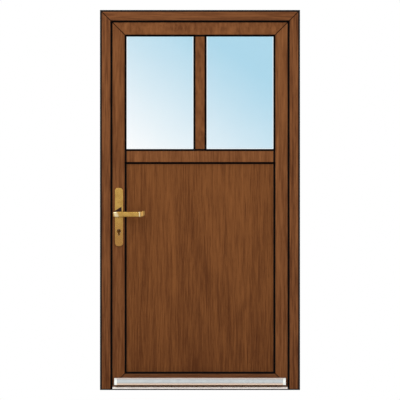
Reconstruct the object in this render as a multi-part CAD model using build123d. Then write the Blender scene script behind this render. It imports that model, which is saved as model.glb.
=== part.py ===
"""Plastic entrance door in its frame: two lights over a solid panel, lever handles and a mortice lock.

Frame of reference, in millimetres: +Z up, +X to the right seen from outside, +Y into the house.
The origin lies on the floor, at the middle of the frame's width and depth.
The leaf is hinged on the right, opens inwards, and carries the lock on the left.
"""

from build123d import *
import math
import os

# Overall frame
FRAME_WIDTH = 1100.0
FRAME_HEIGHT = 2090.0
FRAME_DEPTH = 70.0
FRAME_FACE = 59.0
FRAME_BODY = 39.0
FRAME_LIP_DEPTH = 14.0
WALL_EDGE_CHAMFER = 8.0
PLASTIC_WALL = 3.0
EDGE_BEVEL = 3.0

# Leaf profile, measured from the edge that faces the frame
LEAF_DEPTH = 70.0
LEAF_FACE = 86.0
LEAF_FLANGE = 20.0
FLANGE_BEVEL = 3.0
REBATE_GAP = 12.0
SEAL_GAP = 4.0
SEAL_CLEARANCE = 0.3
LEAF_BOTTOM = 5.0
GROOVE_DEPTH = 6.0
GROOVE_SETBACK = 13.0
FACEPLATE_WIDTH = 16.0
GROOVE_CLEARANCE = 0.2

# Glazing
GLAZING_LIP_HEIGHT = 16.0
GLAZING_LIP_DEPTH = 16.0
GASKET_DEPTH = 4.0
GASKET_SHOW = 9.5
GASKET_HIDDEN = 8.0
GASKET_FRONT = 4.0
GASKET_NOSE = 2.0
UNIT_DEPTH = 24.0
UNIT_EDGE_GAP = 5.0
PANE_THICKNESS = 4.0
SPACER_HEIGHT = 12.0
SPACER_WALL = 1.0
BEAD_GASKET = 3.0
BEAD_HEIGHT = 19.0
BEAD_FLAT = 6.0
BEAD_SLOPE_WIDTH = 9.0
BEAD_TONGUE_DEPTH = 2.2
BEAD_TONGUE_WIDTH = 3.0
BEAD_TONGUE_SETBACK = 5.0
BEAD_GROOVE_CLEARANCE = 0.2
GROOVE_BACKING = 3.0

# Transom and mullion
TRANSOM_FACE = 64.0
TRANSOM_CENTRE = 1284.0
MULLION_FACE = 54.0

# Steel stiffeners
STEEL_WALL = 2.0
STEEL_CLEARANCE = 0.3

# Threshold, bottom seal and weather bar
THRESHOLD_HEIGHT = 17.0
THRESHOLD_BASE = 2.6
THRESHOLD_WALL = 2.0
THRESHOLD_NOSE = 5.0
THRESHOLD_RIBS = 5
THRESHOLD_RIB_WIDTH = 2.0
THRESHOLD_RIB_DEPTH = 0.8
THRESHOLD_RIB_PITCH = 5.0
THRESHOLD_RIB_START = 8.0
SWEEP_WIDTH = 8.0
BAR_END_GAP = 19.0
BAR_BOTTOM = 27.5
BAR_HEIGHT = 39.0
BAR_REACH = 32.0
BAR_NOSE_HEIGHT = 9.0
BAR_SHOULDER = 5.0
BAR_WALL = 1.8
BAR_BACK_HEIGHT = 24.0
BAR_CAP_LENGTH = 15.0

# Lock
BACKSET = 50.0
FACEPLATE_THICKNESS = 3.0
FACEPLATE_LENGTH = 260.0
FACEPLATE_CORNER = 7.0
FACEPLATE_SCREW_HEAD = 2.0
LEVER_HEIGHT = 966.0
CYLINDER_DROP = 92.0
CASE_DEPTH = 60.0
CASE_THICKNESS = 15.0
CASE_WALL = 1.5
CASE_ABOVE_LEVER = 52.0
CASE_BELOW_CYLINDER = 30.0
CASE_FIT = 0.3
FOLLOWER_RADIUS = 9.5
FOLLOWER_ARM_RADIUS = 18.5
FOLLOWER_ARM_TIP = 3.0
FOLLOWER_ARM_NECK = 3.0
FOLLOWER_ARM_ANGLE = 32.0
RUNNING_CLEARANCE = 0.08
SPINDLE_SIDE = 8.0
SPINDLE_PLAY = 0.05
BOLT_THICKNESS = 11.0
BOLT_PLAY = 0.3
LATCH_REACH = 13.0
LATCH_HEIGHT = 24.0
LATCH_RISE = 30.0
LATCH_HEAD_LENGTH = 19.0
LATCH_BEVEL_START = 1.0
LATCH_FLAT = 3.3
LATCH_TAIL_HEIGHT = 10.0
LATCH_LUG_DROP = 10.5
LATCH_LUG_WIDTH = 3.0
LATCH_LUG_GAP = 0.4
DEADBOLT_HEIGHT = 20.0
DEADBOLT_RISE = 28.0
DEADBOLT_HEAD_LENGTH = 26.0
DEADBOLT_TAIL_HEIGHT = 9.0
DEADBOLT_TAIL_LENGTH = 24.0

# Profile cylinder
CYLINDER_RADIUS = 8.5
CYLINDER_LEG_WIDTH = 10.0
CYLINDER_LEG_DROP = 24.5
CYLINDER_PROUD = 2.0
CYLINDER_CUTOUT_PLAY = 1.0
PLUG_RADIUS = 6.5
KEYWAY_WIDTH = 2.2
KEYWAY_HEIGHT = 8.5
KEYWAY_DEPTH = 14.0
CAM_WIDTH = 9.0
CAM_RADIUS = 7.5
CAM_REACH = 11.0
CAM_NOSE_WIDTH = 5.0
CAM_GAP = 0.6

# Handles
PLATE_WIDTH = 46.0
PLATE_END = 24.0
PLATE_DEPTH = 9.0
PLATE_CORNER = 19.0
PLATE_EDGE = 2.5
PLATE_SCREW_RADIUS = 2.5
PLATE_SCREW_ABOVE_CASE = 70.0
PLATE_SCREW_BELOW_CASE = 30.0
PLATE_SCREW_HEAD_RADIUS = 4.5
PLATE_SCREW_HEAD = 3.0
PLATE_SCREW_GRIP = 6.0
SCREW_HOLE_PLAY = 0.5
SCREW_FIT = 0.05
COLLAR_RADIUS = 14.0
COLLAR_HEIGHT = 3.0
COLLAR_CLEARANCE = 0.3
NECK_RADIUS = 10.0
NECK_BEARING = 6.0
GRIP_STANDOFF = 46.0
GRIP_THICKNESS = 17.0
GRIP_HEIGHT = 30.0
GRIP_CORNER = 5.0
GRIP_BEHIND = 31.0
GRIP_LENGTH = 142.0
GRIP_RING_FROM_END = 26.0
GRIP_RING_LENGTH = 7.0
GRIP_RING_PROUD = 2.0
GRIP_TIP_RISE = 6.0
GRIP_TIP_RETURN = 10.0
SPINDLE_SOCKET = 22.0

# Hinges
HINGE_FROM_FLOOR = 260.0
HINGE_FROM_TOP = 250.0
HINGE_LENGTH = 110.0
HINGE_MIDDLE_SHARE = 0.5
HINGE_BARREL_RADIUS = 9.0
HINGE_PIN_RADIUS = 5.0
HINGE_PIN_CAP_RADIUS = 7.5
HINGE_PIN_CAP = 3.0
HINGE_AXIS_OUT = 12.0
HINGE_AXIS_SIDE = 10.0
HINGE_PLATE_THICKNESS = 5.0
HINGE_PLATE_WIDTH = 74.0
HINGE_PLATE_GAP = 4.0
HINGE_PLATE_CORNER = 8.0
HINGE_FRAME_WIDTH = 24.0
HINGE_WEB = 7.0
HINGE_KNUCKLE_GAP = 0.4
HINGE_SCREW_RADIUS = 4.0
HINGE_SCREW_HEAD = 1.0

# Strike keep on the frame
KEEP_STANDOFF = 8.5
KEEP_WIDTH = 24.0
KEEP_MARGIN = 22.0
KEEP_POCKET_PLAY = 1.5
KEEP_CORNER = 4.0
KEEP_SCREW_RADIUS = 2.2
KEEP_SCREW_HEAD_RADIUS = 4.0
KEEP_SCREW_HEAD = 2.5
KEEP_SCREW_INSET = 9.0
BOLT_POCKET_DEPTH = 12.0

# Wall fixings through the jambs
FIXING_RADIUS = 5.0
FIXING_FROM_END = 190.0
FIXING_COUNT = 4

# One overrun serves all cuts
OVERRUN = 1.0

# Planes and edges that follow from the sizes above
HALF_WIDTH = FRAME_WIDTH / 2
OUTSIDE = -FRAME_DEPTH / 2
INSIDE = FRAME_DEPTH / 2
LIP_BACK = OUTSIDE + FRAME_LIP_DEPTH
LEAF_OUT = LIP_BACK + SEAL_GAP
LEAF_IN = LEAF_OUT + LEAF_DEPTH
FLANGE_FACE = INSIDE + SEAL_GAP
LEAF_INSET = FRAME_BODY + REBATE_GAP
LEAF_HALF = HALF_WIDTH - LEAF_INSET
LEAF_TOP = FRAME_HEIGHT - LEAF_INSET
GROOVE_AXIS = FLANGE_FACE - GROOVE_SETBACK
REBATE_BASE = LEAF_FACE - GLAZING_LIP_HEIGHT
GASKET_PLANE = LEAF_OUT + GLAZING_LIP_DEPTH
UNIT_OUT = GASKET_PLANE + GASKET_DEPTH
UNIT_IN = UNIT_OUT + UNIT_DEPTH
BEAD_BACK = UNIT_IN + BEAD_GASKET
LIGHT_HALF = LEAF_HALF - LEAF_FACE
LIGHT_TOP = LEAF_TOP - LEAF_FACE
LIGHT_BOTTOM = LEAF_BOTTOM + LEAF_FACE
TRANSOM_TOP = TRANSOM_CENTRE + TRANSOM_FACE / 2
TRANSOM_UNDER = TRANSOM_CENTRE - TRANSOM_FACE / 2
MULLION_HALF = MULLION_FACE / 2
BAR_LENGTH = FRAME_WIDTH - 2 * (FRAME_FACE + BAR_END_GAP)
FACEPLATE_OUT = -LEAF_HALF + GROOVE_DEPTH - FACEPLATE_THICKNESS
FACEPLATE_BACK = FACEPLATE_OUT + FACEPLATE_THICKNESS
SPINDLE_X = FACEPLATE_OUT + BACKSET
CYLINDER_HEIGHT = LEVER_HEIGHT - CYLINDER_DROP
CASE_BOTTOM = CYLINDER_HEIGHT - CASE_BELOW_CYLINDER
CASE_TOP = LEVER_HEIGHT + CASE_ABOVE_LEVER
CASE_IN = GROOVE_AXIS + CASE_THICKNESS / 2
CASE_OUT = GROOVE_AXIS - CASE_THICKNESS / 2
LATCH_CENTRE = LEVER_HEIGHT + LATCH_RISE
DEADBOLT_CENTRE = CYLINDER_HEIGHT + DEADBOLT_RISE
HINGE_X = LEAF_HALF + LEAF_FLANGE + HINGE_AXIS_SIDE
HINGE_Y = LEAF_IN + HINGE_AXIS_OUT
PLATE_SCREW_LOW = CASE_BOTTOM - PLATE_SCREW_BELOW_CASE
PLATE_SCREW_HIGH = CASE_TOP + PLATE_SCREW_ABOVE_CASE
PLATE_BOTTOM = PLATE_SCREW_LOW - PLATE_END
PLATE_TOP = PLATE_SCREW_HIGH + PLATE_END
HINGE_HIGHEST = FRAME_HEIGHT - HINGE_FROM_TOP
HINGE_HEIGHTS = (HINGE_FROM_FLOOR, (HINGE_FROM_FLOOR + HINGE_HIGHEST) / 2, HINGE_HIGHEST)
FIXING_PITCH = (FRAME_HEIGHT - 2 * FIXING_FROM_END) / (FIXING_COUNT - 1)
FIXING_HEIGHTS = [FIXING_FROM_END + step * FIXING_PITCH for step in range(FIXING_COUNT)]
KEEP_FACE = -HALF_WIDTH + FRAME_BODY + KEEP_STANDOFF
KEEP_BASE = -HALF_WIDTH + FRAME_BODY


# Helpers

def block(x0, x1, y0, y1, z0, z1):
    """A box between two corners."""
    return Pos((x0 + x1) / 2, (y0 + y1) / 2, (z0 + z1) / 2) * Box(x1 - x0, y1 - y0, z1 - z0)


def prism(points, direction, length):
    """A polygon of points in space, pushed along a direction."""
    face = make_face(Polyline(*points, close=True))
    return extrude(face, amount=length, dir=direction)


def rod(radius, x, z, y0, y1):
    """A cylinder along Y."""
    return Pos(x, (y0 + y1) / 2, z) * Rot(90, 0, 0) * Cylinder(radius, y1 - y0)


def rod_x(radius, y, z, x0, x1):
    """A cylinder along X."""
    return Pos((x0 + x1) / 2, y, z) * Rot(0, 90, 0) * Cylinder(radius, x1 - x0)


def rod_z(radius, x, y, z0, z1):
    """An upright cylinder."""
    return Pos(x, y, (z0 + z1) / 2) * Cylinder(radius, z1 - z0)


def upright(points, edge, inward, z0, z1):
    """Extrudes a profile upwards: each point is (distance in from the edge, y)."""
    return prism([(edge + inward * u, y, z0) for u, y in points], (0, 0, 1), z1 - z0)


def level(points, edge, inward, x0, x1):
    """Extrudes a profile to the right: each point is (distance in from the edge, y)."""
    return prism([(x0, y, edge + inward * u) for u, y in points], (1, 0, 0), x1 - x0)


def through_door(points):
    """A region of the front view, as (x, z) points, cut through the whole depth."""
    start = OUTSIDE - FRAME_DEPTH
    return prism([(x, start, z) for x, z in points], (0, 1, 0), FRAME_DEPTH + 2 * FRAME_DEPTH)


def rectangle(u0, u1, y0, y1):
    """Corner points of a chamber or bar in a profile's section."""
    return [(u0, y0), (u1, y0), (u1, y1), (u0, y1)]


def hollow(make, outline, chambers):
    """A profile with its chambers left open along its length."""
    solid = make(outline)
    for chamber in chambers:
        solid -= make(chamber)
    return solid


def save(shape, name):
    """Writes one node and prints how many solids it holds."""
    export_step(shape, f"parts/{name}.step")
    print(name, len(shape.solids()), round(shape.volume))


# Profile sections

def frame_outline():
    """Frame profile: a box section with a lip outside that the leaf closes against."""
    return [
        (0, OUTSIDE + WALL_EDGE_CHAMFER),
        (WALL_EDGE_CHAMFER, OUTSIDE),
        (FRAME_FACE - EDGE_BEVEL, OUTSIDE),
        (FRAME_FACE, OUTSIDE + EDGE_BEVEL),
        (FRAME_FACE, LIP_BACK),
        (FRAME_BODY, LIP_BACK),
        (FRAME_BODY, INSIDE),
        (0, INSIDE),
    ]


FRAME_CHAMBER_OUT = LIP_BACK + PLASTIC_WALL
FRAME_CHAMBER_IN = -FRAME_CHAMBER_OUT


def frame_steel_box():
    """Corners of the stiffener's chamber in the frame profile."""
    return PLASTIC_WALL, FRAME_BODY - PLASTIC_WALL, FRAME_CHAMBER_OUT, FRAME_CHAMBER_IN


def frame_chambers():
    """Outer, stiffener, inner and lip chambers of the frame profile."""
    left, right, outer, inner = frame_steel_box()
    skin = OUTSIDE + PLASTIC_WALL
    return [
        rectangle(PLASTIC_WALL + WALL_EDGE_CHAMFER, right, skin, outer - PLASTIC_WALL),
        rectangle(left, right, outer, inner),
        rectangle(left, right, inner + PLASTIC_WALL, INSIDE - PLASTIC_WALL),
        rectangle(FRAME_BODY, FRAME_FACE - PLASTIC_WALL - EDGE_BEVEL, skin, LIP_BACK - PLASTIC_WALL),
    ]


BEAD_GROOVE_IN = LEAF_IN - BEAD_TONGUE_SETBACK + BEAD_GROOVE_CLEARANCE
BEAD_GROOVE_OUT = LEAF_IN - BEAD_TONGUE_SETBACK - BEAD_TONGUE_WIDTH - BEAD_GROOVE_CLEARANCE
BEAD_GROOVE_DEPTH = BEAD_TONGUE_DEPTH + BEAD_GROOVE_CLEARANCE


def bead_groove(base, side):
    """Points of the slot that takes a bead's tongue, going from outside to inside."""
    bottom = base - side * BEAD_GROOVE_DEPTH
    return [
        (base, BEAD_GROOVE_OUT), (bottom, BEAD_GROOVE_OUT),
        (bottom, BEAD_GROOVE_IN), (base, BEAD_GROOVE_IN),
    ]


def hardware_groove():
    """Points of the groove for lock plates, going from inside to outside."""
    half = FACEPLATE_WIDTH / 2 + GROOVE_CLEARANCE
    return [
        (0, GROOVE_AXIS + half),
        (GROOVE_DEPTH, GROOVE_AXIS + half),
        (GROOVE_DEPTH, GROOVE_AXIS - half),
        (0, GROOVE_AXIS - half),
    ]


def leaf_outline(flange):
    """Leaf profile: glazing lip outside, bead slot inside, and a flange that laps the frame."""
    inner_edge = [
        (-flange + FLANGE_BEVEL, LEAF_IN),
        (-flange, LEAF_IN - FLANGE_BEVEL),
        (-flange, FLANGE_FACE),
        (0, FLANGE_FACE),
    ]
    return [
        (0, LEAF_OUT),
        (LEAF_FACE - EDGE_BEVEL, LEAF_OUT),
        (LEAF_FACE, LEAF_OUT + EDGE_BEVEL),
        (LEAF_FACE, GASKET_PLANE),
        (REBATE_BASE, GASKET_PLANE),
        *bead_groove(REBATE_BASE, 1),
        (REBATE_BASE, LEAF_IN),
        *(inner_edge if flange else [(0, LEAF_IN)]),
        *hardware_groove(),
    ]


LEAF_STEEL_OUT = GASKET_PLANE
LEAF_STEEL_IN = FLANGE_FACE - PLASTIC_WALL


def leaf_steel_box():
    """Corners of the stiffener's chamber in the leaf profile."""
    return GROOVE_DEPTH + PLASTIC_WALL, REBATE_BASE - PLASTIC_WALL, LEAF_STEEL_OUT, LEAF_STEEL_IN


def leaf_chambers(flange):
    """Outer, lip, stiffener and inner chambers of the leaf profile."""
    left, right, outer, inner = leaf_steel_box()
    skin = LEAF_OUT + PLASTIC_WALL
    lip_end = LEAF_FACE - PLASTIC_WALL - EDGE_BEVEL
    bead_wall = REBATE_BASE - BEAD_GROOVE_DEPTH - GROOVE_BACKING
    start = PLASTIC_WALL - flange
    return [
        rectangle(PLASTIC_WALL, right, skin, outer - PLASTIC_WALL),
        rectangle(REBATE_BASE, lip_end, skin, GASKET_PLANE - PLASTIC_WALL),
        rectangle(left, right, outer, inner),
        rectangle(start, bead_wall, inner + PLASTIC_WALL, LEAF_IN - PLASTIC_WALL),
    ]


def bar_lip_outline(face):
    """Only the lips and the front of a transom or mullion."""
    half = face / 2
    return [
        (half - EDGE_BEVEL, LEAF_OUT),
        (half, LEAF_OUT + EDGE_BEVEL),
        (half, GASKET_PLANE),
        (-half, GASKET_PLANE),
        (-half, LEAF_OUT + EDGE_BEVEL),
        (EDGE_BEVEL - half, LEAF_OUT),
    ]


def bar_body_outline(face):
    """The part of a transom or mullion behind its lips, which runs to the rebate bases."""
    base = face / 2 - GLAZING_LIP_HEIGHT
    one_side = [(base, GASKET_PLANE), *bead_groove(base, 1), (base, LEAF_IN)]
    return one_side + [(-u, y) for u, y in reversed(one_side)]


def bar_chambers(face):
    """Front and body chambers of a transom or mullion."""
    base = face / 2 - GLAZING_LIP_HEIGHT
    lip = face / 2 - PLASTIC_WALL - EDGE_BEVEL
    body = base - PLASTIC_WALL
    web = body - BEAD_GROOVE_DEPTH
    return [
        rectangle(-lip, lip, LEAF_OUT + PLASTIC_WALL, GASKET_PLANE - PLASTIC_WALL),
        rectangle(-body, body, GASKET_PLANE, UNIT_IN),
        rectangle(-web, web, UNIT_IN + PLASTIC_WALL, LEAF_IN - PLASTIC_WALL),
    ]


# Frame

def fixing_holes(side):
    """Holes for the wall screws, drilled sideways through one jamb and its stiffener."""
    reach = FRAME_FACE + OVERRUN
    edge = side * (HALF_WIDTH + OVERRUN)
    x0, x1 = sorted((edge, edge - side * reach))
    holes = [rod_x(FIXING_RADIUS, 0, z, x0, x1) for z in FIXING_HEIGHTS]
    return holes[0] + holes[1:]


def bolt_pockets():
    """Recess behind the keep where the bolts pass into the lock jamb."""
    half_y = BOLT_THICKNESS / 2 + KEEP_POCKET_PLAY
    half_z = DEADBOLT_HEIGHT / 2 + KEEP_POCKET_PLAY
    return block(
        KEEP_BASE - BOLT_POCKET_DEPTH, KEEP_BASE + OVERRUN, GROOVE_AXIS - half_y, GROOVE_AXIS + half_y,
        DEADBOLT_CENTRE - half_z, DEADBOLT_CENTRE + half_z,
    )


def frame_jamb(side):
    """An upright of the frame, mitred at the top and standing on the floor."""
    edge = side * HALF_WIDTH
    jamb = hollow(
        lambda points: upright(points, edge, -side, 0, FRAME_HEIGHT), frame_outline(), frame_chambers()
    )
    region = [(edge, 0), (edge, FRAME_HEIGHT), (0, FRAME_HEIGHT - HALF_WIDTH), (0, 0)]
    return (jamb & through_door(region)) - fixing_holes(side)


def frame_head():
    """The top member of the frame, mitred at both ends."""
    head = hollow(
        lambda points: level(points, FRAME_HEIGHT, -1, -HALF_WIDTH, HALF_WIDTH),
        frame_outline(), frame_chambers(),
    )
    region = [(-HALF_WIDTH, FRAME_HEIGHT), (HALF_WIDTH, FRAME_HEIGHT), (0, FRAME_HEIGHT - HALF_WIDTH)]
    return head & through_door(region)


def tube_sections(box):
    """Outer and inner corners of a stiffener that slides into its chamber."""
    u0, u1, y0, y1 = box
    gap, wall = STEEL_CLEARANCE, STEEL_CLEARANCE + STEEL_WALL
    return (
        rectangle(u0 + gap, u1 - gap, y0 + gap, y1 - gap),
        rectangle(u0 + wall, u1 - wall, y0 + wall, y1 - wall),
    )


def frame_steel_upright(side):
    """Stiffener of one jamb, cut square below the mitre."""
    outer, inner = tube_sections(frame_steel_box())
    top = FRAME_HEIGHT - FRAME_BODY
    bar = hollow(lambda points: upright(points, side * HALF_WIDTH, -side, 0, top), outer, [inner])
    return bar - fixing_holes(side)


def frame_steel_level():
    """Stiffener of the head, cut square inside the mitres."""
    outer, inner = tube_sections(frame_steel_box())
    end = HALF_WIDTH - FRAME_BODY
    return hollow(lambda points: level(points, FRAME_HEIGHT, -1, -end, end), outer, [inner])


def threshold():
    """Extruded threshold: a stop outside and a ribbed plate under the leaf."""
    stop = [
        (OUTSIDE, 0),
        (OUTSIDE, THRESHOLD_HEIGHT - THRESHOLD_NOSE),
        (OUTSIDE + THRESHOLD_NOSE, THRESHOLD_HEIGHT),
        (LIP_BACK, THRESHOLD_HEIGHT),
        (LIP_BACK, 0),
    ]
    cavity = [
        (OUTSIDE + THRESHOLD_WALL, THRESHOLD_WALL),
        (OUTSIDE + THRESHOLD_WALL, THRESHOLD_HEIGHT - THRESHOLD_NOSE),
        (OUTSIDE + THRESHOLD_NOSE, THRESHOLD_HEIGHT - THRESHOLD_WALL),
        (LIP_BACK - THRESHOLD_WALL, THRESHOLD_HEIGHT - THRESHOLD_WALL),
        (LIP_BACK - THRESHOLD_WALL, THRESHOLD_WALL),
    ]
    lip_end = HALF_WIDTH - FRAME_FACE
    base_end = HALF_WIDTH - FRAME_BODY

    def across(points, end):
        return prism([(-end, y, z) for y, z in points], (1, 0, 0), 2 * end)

    sill = across(stop, lip_end) - across(cavity, lip_end)
    sill += block(-base_end, base_end, LIP_BACK, INSIDE, 0, THRESHOLD_BASE)
    for rib in range(THRESHOLD_RIBS):
        start = THRESHOLD_RIB_START + rib * THRESHOLD_RIB_PITCH
        sill -= block(
            -base_end, base_end, start, start + THRESHOLD_RIB_WIDTH,
            THRESHOLD_BASE - THRESHOLD_RIB_DEPTH, THRESHOLD_BASE + OVERRUN,
        )
    return sill


def mitred_sides(section, left, right, bottom, top):
    """Four mitred strips round a rectangle: each section point is (distance into the light, y)."""
    reach = max(abs(u) for u, _ in section)
    strips = {}
    for name, edge, inward in (("lock", left, 1), ("hinge", right, -1)):
        strip = upright(section, edge, inward, bottom - reach, top + reach)
        outer, inner = edge - inward * reach, edge + inward * reach
        region = [
            (outer, bottom - reach), (outer, top + reach), (inner, top - reach), (inner, bottom + reach),
        ]
        strips[name] = strip & through_door(region)
    for name, edge, inward in (("bottom", bottom, 1), ("top", top, -1)):
        strip = level(section, edge, inward, left - reach, right + reach)
        outer, inner = edge - inward * reach, edge + inward * reach
        region = [
            (left - reach, outer), (right + reach, outer), (right - reach, inner), (left + reach, inner),
        ]
        strips[name] = strip & through_door(region)
    return strips


def gasket_section(front, back, hidden):
    """Lip seal: a flat root held behind an edge and a sloping nose that shows beside it."""
    return [
        (-hidden, back),
        (-hidden, front),
        (0, front),
        (0, front - GASKET_FRONT),
        (GASKET_NOSE, front - GASKET_FRONT),
        (GASKET_SHOW, back - GASKET_NOSE),
        (GASKET_SHOW, back),
    ]


def seal_loop(section, left, right, bottom, top):
    """A seal joined at its four corners."""
    strips = mitred_sides(section, left, right, bottom, top)
    return strips["lock"] + strips["hinge"] + strips["bottom"] + strips["top"]


def frame_seal():
    """Outer seal on the frame's lip and the threshold's stop, just clear of the leaf."""
    lip = HALF_WIDTH - FRAME_FACE
    section = gasket_section(LIP_BACK, LEAF_OUT - SEAL_CLEARANCE, GASKET_HIDDEN)
    return seal_loop(section, -lip, lip, THRESHOLD_HEIGHT, FRAME_HEIGHT - FRAME_FACE)


def strike_keep():
    """Cast keep on the lock jamb with pockets for the latch and the deadbolt."""
    half = KEEP_WIDTH / 2
    bottom = DEADBOLT_CENTRE - DEADBOLT_HEIGHT / 2 - KEEP_MARGIN
    top = LATCH_CENTRE + LATCH_HEIGHT / 2 + KEEP_MARGIN
    keep = block(KEEP_BASE, KEEP_FACE, GROOVE_AXIS - half, INSIDE - CASE_FIT, bottom, top)
    keep = fillet(keep.edges().filter_by(Axis.X), KEEP_CORNER)
    half_y = BOLT_THICKNESS / 2 + KEEP_POCKET_PLAY
    for centre, height in ((LATCH_CENTRE, LATCH_HEIGHT), (DEADBOLT_CENTRE, DEADBOLT_HEIGHT)):
        half_z = height / 2 + KEEP_POCKET_PLAY
        keep -= block(
            KEEP_BASE - OVERRUN, KEEP_FACE + OVERRUN, GROOVE_AXIS - half_y, GROOVE_AXIS + half_y,
            centre - half_z, centre + half_z,
        )
    for z in keep_screw_heights():
        keep -= rod_x(KEEP_SCREW_RADIUS, GROOVE_AXIS, z, KEEP_BASE - OVERRUN, KEEP_FACE + OVERRUN)
        head_start = KEEP_FACE - KEEP_SCREW_HEAD
        keep -= rod_x(KEEP_SCREW_HEAD_RADIUS, GROOVE_AXIS, z, head_start, KEEP_FACE + OVERRUN)
    return keep


def keep_screw_heights():
    """Heights of the keep's two screws."""
    bottom = DEADBOLT_CENTRE - DEADBOLT_HEIGHT / 2 - KEEP_MARGIN
    top = LATCH_CENTRE + LATCH_HEIGHT / 2 + KEEP_MARGIN
    return bottom + KEEP_SCREW_INSET, top - KEEP_SCREW_INSET


def keep_screws():
    """Countersunk screws that hold the keep, their shanks ending at the frame."""
    screws = []
    for z in keep_screw_heights():
        head_start = KEEP_FACE - KEEP_SCREW_HEAD
        shank = rod_x(KEEP_SCREW_RADIUS, GROOVE_AXIS, z, KEEP_BASE, head_start)
        screws.append(shank + rod_x(KEEP_SCREW_HEAD_RADIUS, GROOVE_AXIS, z, head_start, KEEP_FACE))
    return Compound(children=screws)


# Leaf

def leaf_stile(side):
    """An upright of the leaf with mitred corners; its flange stops square above the threshold."""
    edge = side * LEAF_HALF
    stile = hollow(
        lambda points: upright(points, edge, -side, LEAF_BOTTOM, LEAF_TOP + LEAF_FLANGE),
        leaf_outline(LEAF_FLANGE), leaf_chambers(LEAF_FLANGE),
    )
    outer, inner = edge + side * LEAF_FLANGE, edge - side * LEAF_FACE
    region = [
        (outer, LEAF_BOTTOM), (edge, LEAF_BOTTOM), (inner, LIGHT_BOTTOM), (inner, LIGHT_TOP),
        (outer, LEAF_TOP + LEAF_FLANGE),
    ]
    return stile & through_door(region)


def leaf_rail_top():
    """Top rail of the leaf, mitred at both ends."""
    end = LEAF_HALF + LEAF_FLANGE
    rail = hollow(
        lambda points: level(points, LEAF_TOP, -1, -end, end),
        leaf_outline(LEAF_FLANGE), leaf_chambers(LEAF_FLANGE),
    )
    top = LEAF_TOP + LEAF_FLANGE
    return rail & through_door([(-end, top), (end, top), (LIGHT_HALF, LIGHT_TOP), (-LIGHT_HALF, LIGHT_TOP)])


def leaf_rail_bottom():
    """Bottom rail of the leaf, without a flange because it passes over the threshold."""
    rail = hollow(
        lambda points: level(points, LEAF_BOTTOM, 1, -LEAF_HALF, LEAF_HALF),
        leaf_outline(0), leaf_chambers(0),
    )
    region = [
        (-LEAF_HALF, LEAF_BOTTOM), (LEAF_HALF, LEAF_BOTTOM), (LIGHT_HALF, LIGHT_BOTTOM),
        (-LIGHT_HALF, LIGHT_BOTTOM),
    ]
    return rail & through_door(region)


def leaf_transom():
    """Cross bar under the glass: its front butts the lips and its body runs to the rebate bases."""
    body_end = LIGHT_HALF + GLAZING_LIP_HEIGHT

    def across(points, end):
        return level(points, TRANSOM_CENTRE, 1, -end, end)

    bar = across(bar_lip_outline(TRANSOM_FACE), LIGHT_HALF)
    bar += across(bar_body_outline(TRANSOM_FACE), body_end)
    for chamber in bar_chambers(TRANSOM_FACE):
        bar -= across(chamber, body_end)
    return bar


def leaf_mullion():
    """Upright bar between the two lights, standing on the transom."""
    bottom = TRANSOM_TOP - GLAZING_LIP_HEIGHT
    top = LIGHT_TOP + GLAZING_LIP_HEIGHT
    bar = upright(bar_lip_outline(MULLION_FACE), 0, 1, TRANSOM_TOP, LIGHT_TOP)
    bar += upright(bar_body_outline(MULLION_FACE), 0, 1, bottom, top)
    for chamber in bar_chambers(MULLION_FACE):
        bar -= upright(chamber, 0, 1, bottom, top)
    return bar


def leaf_steel_upright(side):
    """Stiffener of one stile, cut square inside the mitres."""
    outer, inner = tube_sections(leaf_steel_box())
    return hollow(
        lambda points: upright(points, side * LEAF_HALF, -side, LIGHT_BOTTOM, LIGHT_TOP), outer, [inner]
    )


def leaf_steel_level(edge, inward):
    """Stiffener of the top or bottom rail."""
    outer, inner = tube_sections(leaf_steel_box())
    return hollow(lambda points: level(points, edge, inward, -LIGHT_HALF, LIGHT_HALF), outer, [inner])


# Glazing: each light is given by the edges of its rebate

REBATE_HALF = LIGHT_HALF + GLAZING_LIP_HEIGHT
LIGHTS = {
    "left": (
        -REBATE_HALF, GLAZING_LIP_HEIGHT - MULLION_HALF,
        TRANSOM_TOP - GLAZING_LIP_HEIGHT, LIGHT_TOP + GLAZING_LIP_HEIGHT,
    ),
    "right": (
        MULLION_HALF - GLAZING_LIP_HEIGHT, REBATE_HALF,
        TRANSOM_TOP - GLAZING_LIP_HEIGHT, LIGHT_TOP + GLAZING_LIP_HEIGHT,
    ),
    "panel": (
        -REBATE_HALF, REBATE_HALF,
        LIGHT_BOTTOM - GLAZING_LIP_HEIGHT, TRANSOM_UNDER + GLAZING_LIP_HEIGHT,
    ),
}


def inset(light, distance):
    """A light's rectangle drawn in on all four sides."""
    left, right, bottom, top = light
    return left + distance, right - distance, bottom + distance, top - distance


def slab(light, y0, y1):
    """A flat sheet that stands clear of the rebate bases."""
    left, right, bottom, top = inset(light, UNIT_EDGE_GAP)
    return block(left, right, y0, y1, bottom, top)


def pane_outer(light):
    """Weather-side sheet of a sealed glass unit."""
    return slab(light, UNIT_OUT, UNIT_OUT + PANE_THICKNESS)


def pane_inner(light):
    """Room-side sheet of a sealed glass unit."""
    return slab(light, UNIT_IN - PANE_THICKNESS, UNIT_IN)


def glass_spacer(light):
    """Hollow bar that holds the two sheets apart round their edge."""
    y0, y1 = UNIT_OUT + PANE_THICKNESS, UNIT_IN - PANE_THICKNESS

    def ring(near, far, front, back):
        left, right, bottom, top = inset(light, near)
        hole_left, hole_right, hole_bottom, hole_top = inset(light, far)
        outer = block(left, right, front, back, bottom, top)
        return outer - block(hole_left, hole_right, front, back, hole_bottom, hole_top)

    near, far = UNIT_EDGE_GAP, UNIT_EDGE_GAP + SPACER_HEIGHT
    bar = ring(near, far, y0, y1)
    return bar - ring(near + SPACER_WALL, far - SPACER_WALL, y0 + SPACER_WALL, y1 - SPACER_WALL)


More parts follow.
